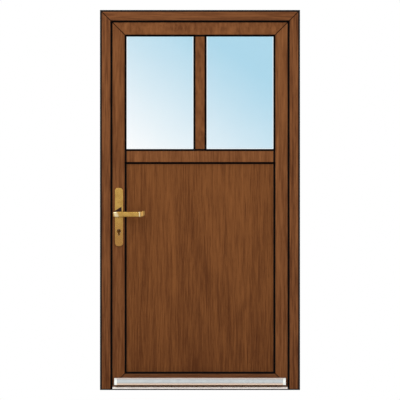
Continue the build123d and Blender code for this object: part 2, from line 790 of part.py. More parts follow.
def glazing_gasket(light):
    """Black gasket between the glazing lip and the sheet, showing round the light."""
    section = gasket_section(GASKET_PLANE, UNIT_OUT, GASKET_HIDDEN)
    return seal_loop(section, *inset(light, GLAZING_LIP_HEIGHT))


def bead_gasket(light):
    """Thin gasket between the sheet and the beads."""
    return seal_loop(rectangle(UNIT_EDGE_GAP, BEAD_HEIGHT, UNIT_IN, BEAD_BACK), *light)


def beads(light):
    """Four mitred beads that clip into the rebate from the room side."""
    tongue_in = LEAF_IN - BEAD_TONGUE_SETBACK
    tongue_out = tongue_in - BEAD_TONGUE_WIDTH
    section = [
        (0, BEAD_BACK),
        (BEAD_HEIGHT, BEAD_BACK),
        (BEAD_HEIGHT, BEAD_BACK + BEAD_FLAT),
        (BEAD_HEIGHT - BEAD_SLOPE_WIDTH, LEAF_IN),
        (0, LEAF_IN),
        (0, tongue_in),
        (-BEAD_TONGUE_DEPTH, tongue_in),
        (-BEAD_TONGUE_DEPTH, tongue_out),
        (0, tongue_out),
    ]
    return Compound(children=list(mitred_sides(section, *light).values()))


# Seals and weather bar of the leaf

def leaf_seal():
    """Inner seal in the leaf's flange, along both stiles and the top rail."""
    back = FLANGE_FACE
    front = INSIDE + SEAL_CLEARANCE
    inner = -LEAF_FLANGE / 2 + GASKET_NOSE
    outer = -LEAF_FLANGE + GASKET_NOSE
    end, top = LEAF_HALF, LEAF_TOP
    band = block(-end + outer, end - outer, front, back, LEAF_BOTTOM, top - outer)
    return band - block(-end + inner, end - inner, front, back, LEAF_BOTTOM, top - inner)


def bottom_seal():
    """Brush strip under the bottom rail that sweeps the threshold."""
    middle = (LIP_BACK + THRESHOLD_RIB_START) / 2
    half = SWEEP_WIDTH / 2
    bottom = THRESHOLD_BASE + SEAL_CLEARANCE
    return block(-LEAF_HALF, LEAF_HALF, middle - half, middle + half, bottom, LEAF_BOTTOM)


def bar_curve(inset_by):
    """Curved front of the weather bar as edges in the (y, z) plane, drawn in by a wall."""
    top = BAR_BOTTOM + BAR_HEIGHT - inset_by
    nose = LEAF_OUT - BAR_REACH + inset_by
    shoulder = (LEAF_OUT - BAR_SHOULDER, top)
    lip = (nose, BAR_BOTTOM + BAR_NOSE_HEIGHT)
    return shoulder, lip


def weather_bar_face(inset_by, back, bottom):
    """Side view of the weather bar: flat top, sloping swept front, short drip nose."""
    shoulder, lip = bar_curve(inset_by)
    outline = [
        Line((0, back, shoulder[1]), (0, *shoulder)),
        TangentArc((0, *shoulder), (0, *lip), tangent=(0, -1, 0)),
        Line((0, *lip), (0, lip[0], bottom)),
        Line((0, lip[0], bottom), (0, back, bottom)),
        Line((0, back, bottom), (0, back, shoulder[1])),
    ]
    return make_face(outline)


def weather_bar_solid(x0, x1):
    """The bar's outer form between two ends."""
    face = weather_bar_face(0, LEAF_OUT, BAR_BOTTOM)
    return Pos(x0, 0, 0) * extrude(face, amount=x1 - x0, dir=(1, 0, 0))


def weather_bar():
    """Aluminium drip bar on the leaf, open underneath."""
    end = BAR_LENGTH / 2 - BAR_CAP_LENGTH
    hole = weather_bar_face(BAR_WALL, LEAF_OUT - BAR_WALL, BAR_BOTTOM - OVERRUN)
    cavity = Pos(-end, 0, 0) * extrude(hole, amount=2 * end, dir=(1, 0, 0))
    back_bottom = BAR_BOTTOM + BAR_HEIGHT - BAR_BACK_HEIGHT
    below = block(-end, end, LEAF_OUT - BAR_WALL, LEAF_OUT, BAR_BOTTOM, back_bottom)
    return weather_bar_solid(-end, end) - cavity - below


def weather_bar_caps():
    """Moulded caps that close the bar's two ends."""
    end = BAR_LENGTH / 2
    left = weather_bar_solid(-end, -end + BAR_CAP_LENGTH)
    return Compound(children=[left, weather_bar_solid(end - BAR_CAP_LENGTH, end)])


# Hinges

def hinge_bands(z):
    """Heights at which the three knuckles of a hinge begin and end."""
    half = HINGE_LENGTH / 2
    middle = half * HINGE_MIDDLE_SHARE
    gap = HINGE_KNUCKLE_GAP
    return (z - half, z - middle - gap), (z - middle, z + middle), (z + middle + gap, z + half)


def hinge_screw_heights(z):
    """Heights of the screws in a hinge plate."""
    reach = HINGE_LENGTH / 2 - HINGE_PLATE_CORNER - HINGE_SCREW_RADIUS
    return z - reach, z, z + reach


HINGE_FRAME_RIGHT = HINGE_X - HINGE_WEB / 2 + HINGE_FRAME_WIDTH
HINGE_LEAF_RIGHT = LEAF_HALF + LEAF_FLANGE - HINGE_PLATE_GAP
HINGE_LEAF_LEFT = HINGE_LEAF_RIGHT - HINGE_PLATE_WIDTH
HINGE_FRAME_SCREW_X = HINGE_X + HINGE_WEB / 2 + (HINGE_FRAME_WIDTH - HINGE_WEB) / 2
HINGE_LEAF_SCREW_X = HINGE_LEAF_LEFT + HINGE_PLATE_CORNER + HINGE_SCREW_RADIUS


def hinge_plate(x0, x1, y0, z):
    """A hinge half's flat plate, with its corners still square."""
    half = HINGE_LENGTH / 2
    return block(x0, x1, y0, y0 + HINGE_PLATE_THICKNESS, z - half, z + half)


def screw_seats(x, y, z):
    """Recesses for the heads of a hinge plate's screws."""
    seats = [
        rod(HINGE_SCREW_RADIUS, x, height, y - HINGE_SCREW_HEAD, y + OVERRUN)
        for height in hinge_screw_heights(z)
    ]
    return seats[0] + seats[1:]


def screw_heads(x, y, z):
    """Heads of a hinge plate's screws, flush with the plate."""
    return [
        rod(HINGE_SCREW_RADIUS, x, height, y - HINGE_SCREW_HEAD, y) for height in hinge_screw_heights(z)
    ]


def hinge_frame_half(z):
    """Half on the frame: a plate with an upper and a lower knuckle."""
    left = HINGE_X - HINGE_WEB / 2
    plate = hinge_plate(left, HINGE_FRAME_RIGHT, INSIDE, z)
    outer_corners = plate.edges().filter_by(Axis.Y).sort_by(Axis.X)[-2:]
    half = fillet(outer_corners, HINGE_PLATE_CORNER)
    lower, _, upper = hinge_bands(z)
    for z0, z1 in (lower, upper):
        half += block(left, left + HINGE_WEB, INSIDE, HINGE_Y, z0, z1)
        half += rod_z(HINGE_BARREL_RADIUS, HINGE_X, HINGE_Y, z0, z1)
    bore = HINGE_LENGTH / 2 + OVERRUN
    half -= rod_z(HINGE_PIN_RADIUS, HINGE_X, HINGE_Y, z - bore, z + bore)
    return half - screw_seats(HINGE_FRAME_SCREW_X, INSIDE + HINGE_PLATE_THICKNESS, z)


def hinge_leaf_half(z):
    """Half on the leaf: a wide plate with the middle knuckle."""
    plate = hinge_plate(HINGE_LEAF_LEFT, HINGE_LEAF_RIGHT, LEAF_IN, z)
    outer_corners = plate.edges().filter_by(Axis.Y).sort_by(Axis.X)[:2]
    half = fillet(outer_corners, HINGE_PLATE_CORNER)
    _, (z0, z1), _ = hinge_bands(z)
    arm = [
        (HINGE_LEAF_RIGHT - HINGE_BARREL_RADIUS, LEAF_IN + HINGE_PLATE_THICKNESS),
        (HINGE_LEAF_RIGHT, LEAF_IN),
        (HINGE_X, HINGE_Y - HINGE_BARREL_RADIUS),
        (HINGE_X, HINGE_Y),
        (HINGE_X - HINGE_BARREL_RADIUS, HINGE_Y),
    ]
    half += prism([(x, y, z0) for x, y in arm], (0, 0, 1), z1 - z0)
    half += rod_z(HINGE_BARREL_RADIUS, HINGE_X, HINGE_Y, z0, z1)
    bore = HINGE_PIN_RADIUS + RUNNING_CLEARANCE
    half -= rod_z(bore, HINGE_X, HINGE_Y, z0 - OVERRUN, z1 + OVERRUN)
    return half - screw_seats(HINGE_LEAF_SCREW_X, LEAF_IN + HINGE_PLATE_THICKNESS, z)


def hinge_pin(z):
    """Pin with a cap at each end."""
    half = HINGE_LENGTH / 2
    pin = rod_z(HINGE_PIN_RADIUS, HINGE_X, HINGE_Y, z - half, z + half)
    pin += rod_z(HINGE_PIN_CAP_RADIUS, HINGE_X, HINGE_Y, z + half, z + half + HINGE_PIN_CAP)
    return pin + rod_z(HINGE_PIN_CAP_RADIUS, HINGE_X, HINGE_Y, z - half - HINGE_PIN_CAP, z - half)


# Lock

def profile_outline(play):
    """Front view of a profile cylinder: a round head over a narrow leg, with play all round."""
    head = Pos(0, 0) * Circle(CYLINDER_RADIUS + play)
    width = CYLINDER_LEG_WIDTH + 2 * play
    drop = CYLINDER_LEG_DROP - CYLINDER_LEG_WIDTH / 2
    leg = Pos(0, -drop / 2) * Rectangle(width, drop)
    return head + leg + Pos(0, -drop) * Circle(width / 2)


def profile_bar(play, y0, y1):
    """The cylinder's outline pushed through the door between two depths."""
    plane = Plane(origin=(SPINDLE_X, y1, CYLINDER_HEIGHT), x_dir=(1, 0, 0), z_dir=(0, -1, 0))
    return extrude(plane * profile_outline(play), amount=y1 - y0)


def plate_screw_heights():
    """Heights of the two screws that hold the handle plates together."""
    return PLATE_SCREW_LOW, PLATE_SCREW_HIGH


FACEPLATE_CENTRE = (CASE_BOTTOM + CASE_TOP) / 2
FACEPLATE_LOW = FACEPLATE_CENTRE - FACEPLATE_LENGTH / 2
FACEPLATE_HIGH = FACEPLATE_CENTRE + FACEPLATE_LENGTH / 2
CASE_BACK = FACEPLATE_BACK + CASE_DEPTH
PLATE_OUT = LEAF_OUT - PLATE_DEPTH
PLATE_IN = LEAF_IN + PLATE_DEPTH


def faceplate_screw_heights():
    """Heights of the faceplate's two screws."""
    return FACEPLATE_LOW + KEEP_SCREW_INSET, FACEPLATE_HIGH - KEEP_SCREW_INSET


def lock_cuts():
    """What is milled out of the lock stile and its stiffener for the lock and the handles."""
    fit = CASE_FIT
    cuts = block(
        FACEPLATE_BACK - OVERRUN, CASE_BACK + fit, CASE_OUT - fit, CASE_IN + fit,
        CASE_BOTTOM - fit, CASE_TOP + fit,
    )
    y0, y1 = LEAF_OUT - OVERRUN, LEAF_IN + OVERRUN
    cuts += rod(NECK_RADIUS + SCREW_HOLE_PLAY, SPINDLE_X, LEVER_HEIGHT, y0, y1)
    cuts += profile_bar(CYLINDER_CUTOUT_PLAY, y0, y1)
    for z in plate_screw_heights():
        cuts += rod(PLATE_SCREW_RADIUS + SCREW_HOLE_PLAY, SPINDLE_X, z, y0, y1)
    for z in faceplate_screw_heights():
        tip = FACEPLATE_BACK + PLATE_SCREW_GRIP
        cuts += rod_x(KEEP_SCREW_RADIUS + SCREW_FIT, GROOVE_AXIS, z, FACEPLATE_BACK - OVERRUN, tip)
    return cuts


def bolt_window(centre, height):
    """Opening in the faceplate that a bolt slides through."""
    half_y = BOLT_THICKNESS / 2 + BOLT_PLAY
    half_z = height / 2 + BOLT_PLAY
    return block(
        FACEPLATE_OUT - OVERRUN, FACEPLATE_BACK + OVERRUN, GROOVE_AXIS - half_y, GROOVE_AXIS + half_y,
        centre - half_z, centre + half_z,
    )


CYLINDER_SCREW_HEIGHT = CYLINDER_HEIGHT - CYLINDER_LEG_DROP + CYLINDER_LEG_WIDTH / 2
FACEPLATE_SEAT = FACEPLATE_OUT + FACEPLATE_SCREW_HEAD


def lock_faceplate():
    """Steel strip in the leaf's groove with windows for the bolts."""
    half = FACEPLATE_WIDTH / 2
    plate = block(
        FACEPLATE_OUT, FACEPLATE_BACK, GROOVE_AXIS - half, GROOVE_AXIS + half, FACEPLATE_LOW, FACEPLATE_HIGH
    )
    plate = fillet(plate.edges().filter_by(Axis.X), FACEPLATE_CORNER)
    plate -= bolt_window(LATCH_CENTRE, LATCH_HEIGHT) + bolt_window(DEADBOLT_CENTRE, DEADBOLT_HEIGHT)
    for z in (*faceplate_screw_heights(), CYLINDER_SCREW_HEIGHT):
        start = FACEPLATE_OUT - OVERRUN
        plate -= rod_x(KEEP_SCREW_RADIUS + SCREW_FIT, GROOVE_AXIS, z, start, FACEPLATE_BACK + OVERRUN)
        plate -= rod_x(KEEP_SCREW_HEAD_RADIUS + SCREW_FIT, GROOVE_AXIS, z, start, FACEPLATE_SEAT)
    return plate


def lock_screws():
    """Two screws that hold the faceplate, and the long one that holds the cylinder."""
    screws = []
    lengths = [(z, FACEPLATE_BACK + PLATE_SCREW_GRIP) for z in faceplate_screw_heights()]
    for z, tip in [*lengths, (CYLINDER_SCREW_HEIGHT, SPINDLE_X)]:
        shank = rod_x(KEEP_SCREW_RADIUS, GROOVE_AXIS, z, FACEPLATE_SEAT, tip)
        screws.append(shank + rod_x(KEEP_SCREW_HEAD_RADIUS, GROOVE_AXIS, z, FACEPLATE_OUT, FACEPLATE_SEAT))
    return Compound(children=screws)


def lock_case():
    """Folded steel case behind the faceplate, with bearings for the follower and a cylinder hole."""
    wall = CASE_WALL
    case = block(FACEPLATE_BACK, CASE_BACK, CASE_OUT, CASE_IN, CASE_BOTTOM, CASE_TOP)
    case -= block(
        FACEPLATE_BACK, CASE_BACK - wall, CASE_OUT + wall, CASE_IN - wall,
        CASE_BOTTOM + wall, CASE_TOP - wall,
    )
    y0, y1 = CASE_OUT - OVERRUN, CASE_IN + OVERRUN
    case -= rod(FOLLOWER_RADIUS + RUNNING_CLEARANCE, SPINDLE_X, LEVER_HEIGHT, y0, y1)
    return case - profile_bar(RUNNING_CLEARANCE, y0, y1)


BOLT_OUT = GROOVE_AXIS - BOLT_THICKNESS / 2
BOLT_IN = GROOVE_AXIS + BOLT_THICKNESS / 2


def lock_follower():
    """Hub turned by the spindle, with an arm that draws the latch back."""
    hub = rod(FOLLOWER_RADIUS, SPINDLE_X, LEVER_HEIGHT, CASE_OUT, CASE_IN)
    lean = math.radians(FOLLOWER_ARM_ANGLE)
    tip_x = SPINDLE_X - FOLLOWER_ARM_RADIUS * math.sin(lean)
    tip_z = LEVER_HEIGHT + FOLLOWER_ARM_RADIUS * math.cos(lean)
    neck = FOLLOWER_ARM_NECK / 2
    side_x, side_z = neck * math.cos(lean), neck * math.sin(lean)
    arm = [
        (SPINDLE_X - side_x, LEVER_HEIGHT - side_z), (SPINDLE_X + side_x, LEVER_HEIGHT + side_z),
        (tip_x + side_x, tip_z + side_z), (tip_x - side_x, tip_z - side_z),
    ]
    hub += prism([(x, BOLT_OUT, z) for x, z in arm], (0, 1, 0), BOLT_THICKNESS)
    hub += rod(FOLLOWER_ARM_TIP, tip_x, tip_z, BOLT_OUT, BOLT_IN)
    return hub - spindle_bar(SPINDLE_PLAY, CASE_OUT - OVERRUN, CASE_IN + OVERRUN)


def spindle_bar(play, y0, y1):
    """Square bar on the lever's axis."""
    half = SPINDLE_SIDE / 2 + play
    return block(SPINDLE_X - half, SPINDLE_X + half, y0, y1, LEVER_HEIGHT - half, LEVER_HEIGHT + half)


def latch_bolt():
    """Sprung latch: bevelled head, slim tail and a lug that the follower's arm pushes."""
    tip = FACEPLATE_OUT - LATCH_REACH
    head_end = tip + LATCH_HEAD_LENGTH
    head = [
        (head_end, BOLT_OUT), (FACEPLATE_OUT - LATCH_BEVEL_START, BOLT_OUT), (tip, BOLT_IN - LATCH_FLAT),
        (tip, BOLT_IN), (head_end, BOLT_IN),
    ]
    bottom = LATCH_CENTRE - LATCH_HEIGHT / 2
    bolt = prism([(x, y, bottom) for x, y in head], (0, 0, 1), LATCH_HEIGHT)
    lean = math.radians(FOLLOWER_ARM_ANGLE)
    lug = SPINDLE_X - FOLLOWER_ARM_RADIUS * math.sin(lean) + FOLLOWER_ARM_TIP + LATCH_LUG_GAP
    lug_end = lug + LATCH_LUG_WIDTH
    tail = LATCH_TAIL_HEIGHT / 2
    bolt += block(head_end, lug_end, BOLT_OUT, BOLT_IN, LATCH_CENTRE - tail, LATCH_CENTRE + tail)
    lug_bottom = LATCH_CENTRE - tail - LATCH_LUG_DROP
    return bolt + block(lug, lug_end, BOLT_OUT, BOLT_IN, lug_bottom, LATCH_CENTRE)


def deadbolt():
    """Square bolt, flush with the faceplate when it is drawn back."""
    head_end = FACEPLATE_OUT + DEADBOLT_HEAD_LENGTH
    half, tail = DEADBOLT_HEIGHT / 2, DEADBOLT_TAIL_HEIGHT / 2
    centre = DEADBOLT_CENTRE
    bolt = block(FACEPLATE_OUT, head_end, BOLT_OUT, BOLT_IN, centre - half, centre + half)
    tail_end = head_end + DEADBOLT_TAIL_LENGTH
    return bolt + block(head_end, tail_end, BOLT_OUT, BOLT_IN, centre - tail, centre + tail)


CAM_OUT = GROOVE_AXIS - CAM_WIDTH / 2
CAM_IN = GROOVE_AXIS + CAM_WIDTH / 2
CYLINDER_OUT = PLATE_OUT - CYLINDER_PROUD
CYLINDER_IN = PLATE_IN + CYLINDER_PROUD


def cylinder_body():
    """Body of the profile cylinder: two bored halves joined under the cam."""
    body = profile_bar(0, CYLINDER_OUT, CYLINDER_IN)
    bore = PLUG_RADIUS + RUNNING_CLEARANCE
    body -= rod(bore, SPINDLE_X, CYLINDER_HEIGHT, CYLINDER_OUT - OVERRUN, CYLINDER_IN + OVERRUN)
    reach = CAM_REACH + CAM_GAP
    body -= block(
        SPINDLE_X - reach, SPINDLE_X + reach, CAM_OUT - CAM_GAP, CAM_IN + CAM_GAP,
        CYLINDER_HEIGHT - reach, CYLINDER_HEIGHT + reach,
    )
    thread = KEEP_SCREW_RADIUS + SCREW_FIT
    return body - rod_x(thread, GROOVE_AXIS, CYLINDER_SCREW_HEIGHT, FACEPLATE_BACK, SPINDLE_X)


def cylinder_plugs():
    """The two plugs that a key turns, each with its keyway."""
    outer = rod(PLUG_RADIUS, SPINDLE_X, CYLINDER_HEIGHT, CYLINDER_OUT, CAM_OUT)
    inner = rod(PLUG_RADIUS, SPINDLE_X, CYLINDER_HEIGHT, CAM_IN, CYLINDER_IN)
    half_x, half_z = KEYWAY_WIDTH / 2, KEYWAY_HEIGHT / 2
    outer -= block(
        SPINDLE_X - half_x, SPINDLE_X + half_x, CYLINDER_OUT - OVERRUN, CYLINDER_OUT + KEYWAY_DEPTH,
        CYLINDER_HEIGHT - half_z, CYLINDER_HEIGHT + half_z,
    )
    inner -= block(
        SPINDLE_X - half_x, SPINDLE_X + half_x, CYLINDER_IN - KEYWAY_DEPTH, CYLINDER_IN + OVERRUN,
        CYLINDER_HEIGHT - half_z, CYLINDER_HEIGHT + half_z,
    )
    return Compound(children=[outer, inner])


def cylinder_cam():
    """Cam between the plugs, its nose pointing down when the bolt is drawn back."""
    cam = rod(CAM_RADIUS, SPINDLE_X, CYLINDER_HEIGHT, CAM_OUT, CAM_IN)
    half = CAM_NOSE_WIDTH / 2
    nose_end = CYLINDER_HEIGHT - CAM_REACH + half
    cam += block(SPINDLE_X - half, SPINDLE_X + half, CAM_OUT, CAM_IN, nose_end, CYLINDER_HEIGHT)
    return cam + rod(half, SPINDLE_X, nose_end, CAM_OUT, CAM_IN)


# Handles

MIDDLE = Plane(origin=(0, (LEAF_OUT + LEAF_IN) / 2, 0), z_dir=(0, 1, 0))
GRIP_Y = PLATE_OUT - GRIP_STANDOFF


def handle_plate():
    """Long outer plate with a bearing for the lever and a hole for the cylinder."""
    height = PLATE_TOP - PLATE_BOTTOM
    plane = Plane(
        origin=(SPINDLE_X, LEAF_OUT, (PLATE_TOP + PLATE_BOTTOM) / 2), x_dir=(1, 0, 0), z_dir=(0, -1, 0)
    )
    plate = extrude(plane * RectangleRounded(PLATE_WIDTH, height, PLATE_CORNER), amount=PLATE_DEPTH)
    plate = fillet(plate.faces().sort_by(Axis.Y)[0].edges(), PLATE_EDGE)
    y0, y1 = PLATE_OUT - OVERRUN, LEAF_OUT + OVERRUN
    plate -= rod(NECK_RADIUS + RUNNING_CLEARANCE, SPINDLE_X, LEVER_HEIGHT, y0, y1)
    return plate - profile_bar(RUNNING_CLEARANCE, y0, y1)


def handle_plate_outer():
    """Plate on the weather side, tapped from behind so that no screw shows."""
    plate = handle_plate()
    for z in plate_screw_heights():
        plate -= rod(PLATE_SCREW_RADIUS, SPINDLE_X, z, LEAF_OUT - PLATE_SCREW_GRIP, LEAF_OUT + OVERRUN)
    return plate


def handle_plate_inner():
    """Plate on the room side, with sunk holes for the screws."""
    plate = mirror(handle_plate(), about=MIDDLE)
    for z in plate_screw_heights():
        end = PLATE_IN + OVERRUN
        plate -= rod(PLATE_SCREW_RADIUS + SCREW_FIT, SPINDLE_X, z, LEAF_IN - OVERRUN, end)
        plate -= rod(PLATE_SCREW_HEAD_RADIUS + SCREW_FIT, SPINDLE_X, z, PLATE_IN - PLATE_SCREW_HEAD, end)
    return plate


def handle_screws():
    """Screws that clamp both plates to the stile."""
    screws = []
    for z in plate_screw_heights():
        head_start = PLATE_IN - PLATE_SCREW_HEAD
        shank = rod(PLATE_SCREW_RADIUS, SPINDLE_X, z, LEAF_OUT - PLATE_SCREW_GRIP, head_start)
        screws.append(shank + rod(PLATE_SCREW_HEAD_RADIUS, SPINDLE_X, z, head_start, PLATE_IN))
    return Compound(children=screws)


NECK_SHARES = (0.72, 0.86)
HEAD_SHARES = (1.0, 1.0)
MIDDLE_SHARES = (0.96, 0.98)
WAIST_SHARES = (0.88, 0.94)
FLARE_SHARES = (0.84, 1.14)
TIP_SHARES = (0.62, 1.0)
FLARE_RETURN_SHARE = 0.3
FLARE_RISE_SHARE = 0.7


def grip_section(x, shares, back, rise):
    """Rounded section of the grip at one place along it."""
    thickness, height = GRIP_THICKNESS * shares[0], GRIP_HEIGHT * shares[1]
    plane = Plane(origin=(x, GRIP_Y + back, LEVER_HEIGHT + rise), x_dir=(0, 1, 0), z_dir=(1, 0, 0))
    return plane * RectangleRounded(thickness, height, GRIP_CORNER)


def lever_outer():
    """Cast lever: a round neck, a straight grip, a turned ring and a flared tip bent towards the door."""
    ring = SPINDLE_X + GRIP_LENGTH - GRIP_RING_FROM_END
    ring_end = ring + GRIP_RING_LENGTH
    end = SPINDLE_X + GRIP_LENGTH
    grip = loft([
        grip_section(SPINDLE_X - GRIP_BEHIND, NECK_SHARES, 0, 0),
        grip_section(SPINDLE_X - GRIP_BEHIND / 2, HEAD_SHARES, 0, 0),
        grip_section(SPINDLE_X + GRIP_BEHIND, MIDDLE_SHARES, 0, 0),
        grip_section(ring, WAIST_SHARES, 0, 0),
    ], ruled=True)
    flare = FLARE_SHARES, GRIP_TIP_RETURN * FLARE_RETURN_SHARE, GRIP_TIP_RISE * FLARE_RISE_SHARE
    tip = loft([
        grip_section(ring_end, WAIST_SHARES, 0, 0),
        grip_section((ring_end + end) / 2, *flare),
        grip_section(end, TIP_SHARES, GRIP_TIP_RETURN, GRIP_TIP_RISE),
    ], ruled=True)
    plane = Plane(origin=(ring, GRIP_Y, LEVER_HEIGHT), x_dir=(0, 1, 0), z_dir=(1, 0, 0))
    ring_width = GRIP_THICKNESS * WAIST_SHARES[0] + 2 * GRIP_RING_PROUD
    ring_height = GRIP_HEIGHT * WAIST_SHARES[1] + 2 * GRIP_RING_PROUD
    outline = RectangleRounded(ring_width, ring_height, GRIP_CORNER)
    collar = extrude(plane * outline, amount=GRIP_RING_LENGTH)
    neck_end = PLATE_OUT + NECK_BEARING
    lever = grip + collar + tip + rod(NECK_RADIUS, SPINDLE_X, LEVER_HEIGHT, GRIP_Y, neck_end)
    rosette = PLATE_OUT - COLLAR_CLEARANCE
    lever += rod(COLLAR_RADIUS, SPINDLE_X, LEVER_HEIGHT, rosette - COLLAR_HEIGHT, rosette)
    return lever - spindle_bar(SPINDLE_PLAY, neck_end - SPINDLE_SOCKET, neck_end + OVERRUN)


def lever_inner():
    """Matching lever on the room side."""
    return mirror(lever_outer(), about=MIDDLE)


def spindle():
    """Square bar that joins the two levers through the follower."""
    socket = PLATE_OUT + NECK_BEARING - SPINDLE_SOCKET
    far = PLATE_IN - NECK_BEARING + SPINDLE_SOCKET
    return spindle_bar(0, socket, far)


def build():
    """Makes every node and writes it out."""
    os.makedirs("parts", exist_ok=True)
    save(frame_jamb(-1) - bolt_pockets(), "frame_jamb_lock")
    save(frame_jamb(1), "frame_jamb_hinge")
    save(frame_head(), "frame_head")
    steels = [frame_steel_upright(-1) - bolt_pockets(), frame_steel_upright(1), frame_steel_level()]
    save(Compound(children=steels), "frame_steels")
    save(frame_seal(), "frame_seal")
    save(threshold(), "threshold")
    save(strike_keep(), "strike_keep")
    save(keep_screws(), "strike_keep_screws")
    for name, z in zip(("bottom", "middle", "top"), HINGE_HEIGHTS):
        save(hinge_frame_half(z), f"hinge_frame_half_{name}")
        save(hinge_leaf_half(z), f"hinge_leaf_half_{name}")
    save(Compound(children=[hinge_pin(z) for z in HINGE_HEIGHTS]), "hinge_pins")
    frame_heads = [head for z in HINGE_HEIGHTS
                   for head in screw_heads(HINGE_FRAME_SCREW_X, INSIDE + HINGE_PLATE_THICKNESS, z)]
    leaf_heads = [head for z in HINGE_HEIGHTS
                  for head in screw_heads(HINGE_LEAF_SCREW_X, LEAF_IN + HINGE_PLATE_THICKNESS, z)]
    save(Compound(children=frame_heads), "hinge_screws_frame")
    save(Compound(children=leaf_heads), "hinge_screws_leaf")

    milled = lock_cuts()
    save(leaf_stile(-1) - milled, "leaf_stile_lock")
    save(leaf_stile(1), "leaf_stile_hinge")
    save(leaf_rail_top(), "leaf_rail_top")
    save(leaf_rail_bottom(), "leaf_rail_bottom")
    save(leaf_transom(), "leaf_transom")
    save(leaf_mullion(), "leaf_mullion")
    leaf_steels = [
        leaf_steel_upright(-1) - milled, leaf_steel_upright(1),
        leaf_steel_level(LEAF_TOP, -1), leaf_steel_level(LEAF_BOTTOM, 1),
    ]
    save(Compound(children=leaf_steels), "leaf_steels")

    for name in ("left", "right"):
        save(pane_outer(LIGHTS[name]), f"glass_{name}_outer_pane")
        save(pane_inner(LIGHTS[name]), f"glass_{name}_inner_pane")
        save(glass_spacer(LIGHTS[name]), f"glass_{name}_spacer")
    save(slab(LIGHTS["panel"], UNIT_OUT, UNIT_IN), "infill_panel")
    for name, light in LIGHTS.items():
        save(glazing_gasket(light), f"glazing_gasket_{name}")
        save(bead_gasket(light), f"bead_gasket_{name}")
        save(beads(light), f"glazing_beads_{name}")

    save(leaf_seal(), "leaf_seal")
    save(bottom_seal(), "bottom_seal")
    save(weather_bar(), "weather_bar")
    save(weather_bar_caps(), "weather_bar_caps")

    save(lock_faceplate(), "lock_faceplate")
    save(lock_screws(), "lock_screws")
    save(lock_case(), "lock_case")
    save(lock_follower(), "lock_follower")
    save(latch_bolt(), "latch_bolt")
    save(deadbolt(), "deadbolt")
    save(cylinder_body(), "cylinder_body")
    save(cylinder_plugs(), "cylinder_plugs")
    save(cylinder_cam(), "cylinder_cam")

    save(handle_plate_outer(), "handle_plate_outer")
    save(handle_plate_inner(), "handle_plate_inner")
    save(handle_screws(), "handle_screws")
    save(lever_outer(), "lever_outer")
    save(lever_inner(), "lever_inner")
    save(spindle(), "spindle")


build()
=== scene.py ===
# %% [markdown]
# # A wood-foiled entrance door
#
# This lesson dresses a plastic entrance door: brown wood-grain foil on the profiles and the panel,
# clear double glazing, black seals, a polished brass handle and an aluminium weather bar.
# The solids come from the CAD model and stay where they are. The lesson gives each one its finish,
# adds the saw lines, rubber pads and screw recesses that the solids leave out, and then lights the door.
#
# Everything is in metres. +X is to the right seen from outside, +Y goes into the house, +Z is up.

import math

import bpy
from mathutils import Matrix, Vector


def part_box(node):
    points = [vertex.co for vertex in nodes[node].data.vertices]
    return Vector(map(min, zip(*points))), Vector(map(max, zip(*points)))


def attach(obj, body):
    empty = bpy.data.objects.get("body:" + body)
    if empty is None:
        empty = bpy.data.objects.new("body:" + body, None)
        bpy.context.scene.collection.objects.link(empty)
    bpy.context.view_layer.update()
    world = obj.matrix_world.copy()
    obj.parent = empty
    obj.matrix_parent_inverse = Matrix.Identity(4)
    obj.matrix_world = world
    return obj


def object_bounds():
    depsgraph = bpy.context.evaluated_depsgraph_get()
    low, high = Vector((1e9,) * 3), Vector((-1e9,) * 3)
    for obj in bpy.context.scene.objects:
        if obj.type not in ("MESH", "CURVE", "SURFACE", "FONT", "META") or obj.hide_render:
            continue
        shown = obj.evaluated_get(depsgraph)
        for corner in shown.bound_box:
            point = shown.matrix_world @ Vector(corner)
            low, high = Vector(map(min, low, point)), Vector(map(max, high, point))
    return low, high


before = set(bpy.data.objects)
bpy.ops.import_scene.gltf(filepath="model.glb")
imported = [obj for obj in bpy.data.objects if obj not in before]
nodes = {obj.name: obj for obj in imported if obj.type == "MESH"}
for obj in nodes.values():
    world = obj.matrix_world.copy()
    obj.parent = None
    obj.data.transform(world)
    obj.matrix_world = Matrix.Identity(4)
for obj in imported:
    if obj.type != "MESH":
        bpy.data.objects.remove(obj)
cad_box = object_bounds()
millimetre = 0.001

# %% [markdown]
# ## A small language for finishes
#
# A finish is a network of nodes. Wiring the nodes one link at a time hides the idea behind them. So a
# `Flow` stands for one value on its way through a network, and ordinary Python sums on it add the
# Math nodes.


# %% Flow
class Flow:
    """A number, colour or vector on its way through a network."""

    def __init__(self, network, socket):
        self.network = network
        self.socket = socket

    def math(self, operation, *others):
        """A Math node with this value first."""
        sockets = dict(enumerate((self, *others)))
        return self.network.node("ShaderNodeMath", {"operation": operation}, sockets)

    def __add__(self, other):
        return self.math("ADD", other)

    def __sub__(self, other):
        return self.math("SUBTRACT", other)

    def __mul__(self, other):
        return self.math("MULTIPLY", other)

    def __truediv__(self, other):
        return self.math("DIVIDE", other)

    def __pow__(self, other):
        return self.math("POWER", other)

    def __neg__(self):
        return self.math("MULTIPLY", -1.0)

    def __rsub__(self, other):
        return -self + other

    __radd__ = __add__
    __rmul__ = __mul__

    def rise(self, start, end):
        """0 below start, 1 above end, and a smooth climb between them."""
        settings = {"interpolation_type": "SMOOTHSTEP"}
        sockets = {"Value": self, "From Min": start, "From Max": end}
        return self.network.node("ShaderNodeMapRange", settings, sockets)


print("sums that add nodes: + - * / ** and the minus sign")

# %% [markdown]
# Every other node comes from one method. It takes the node's type, its settings and what goes into its
# sockets, and it hands back a flow. A material and the room round the door are both networks, so they
# share this class.


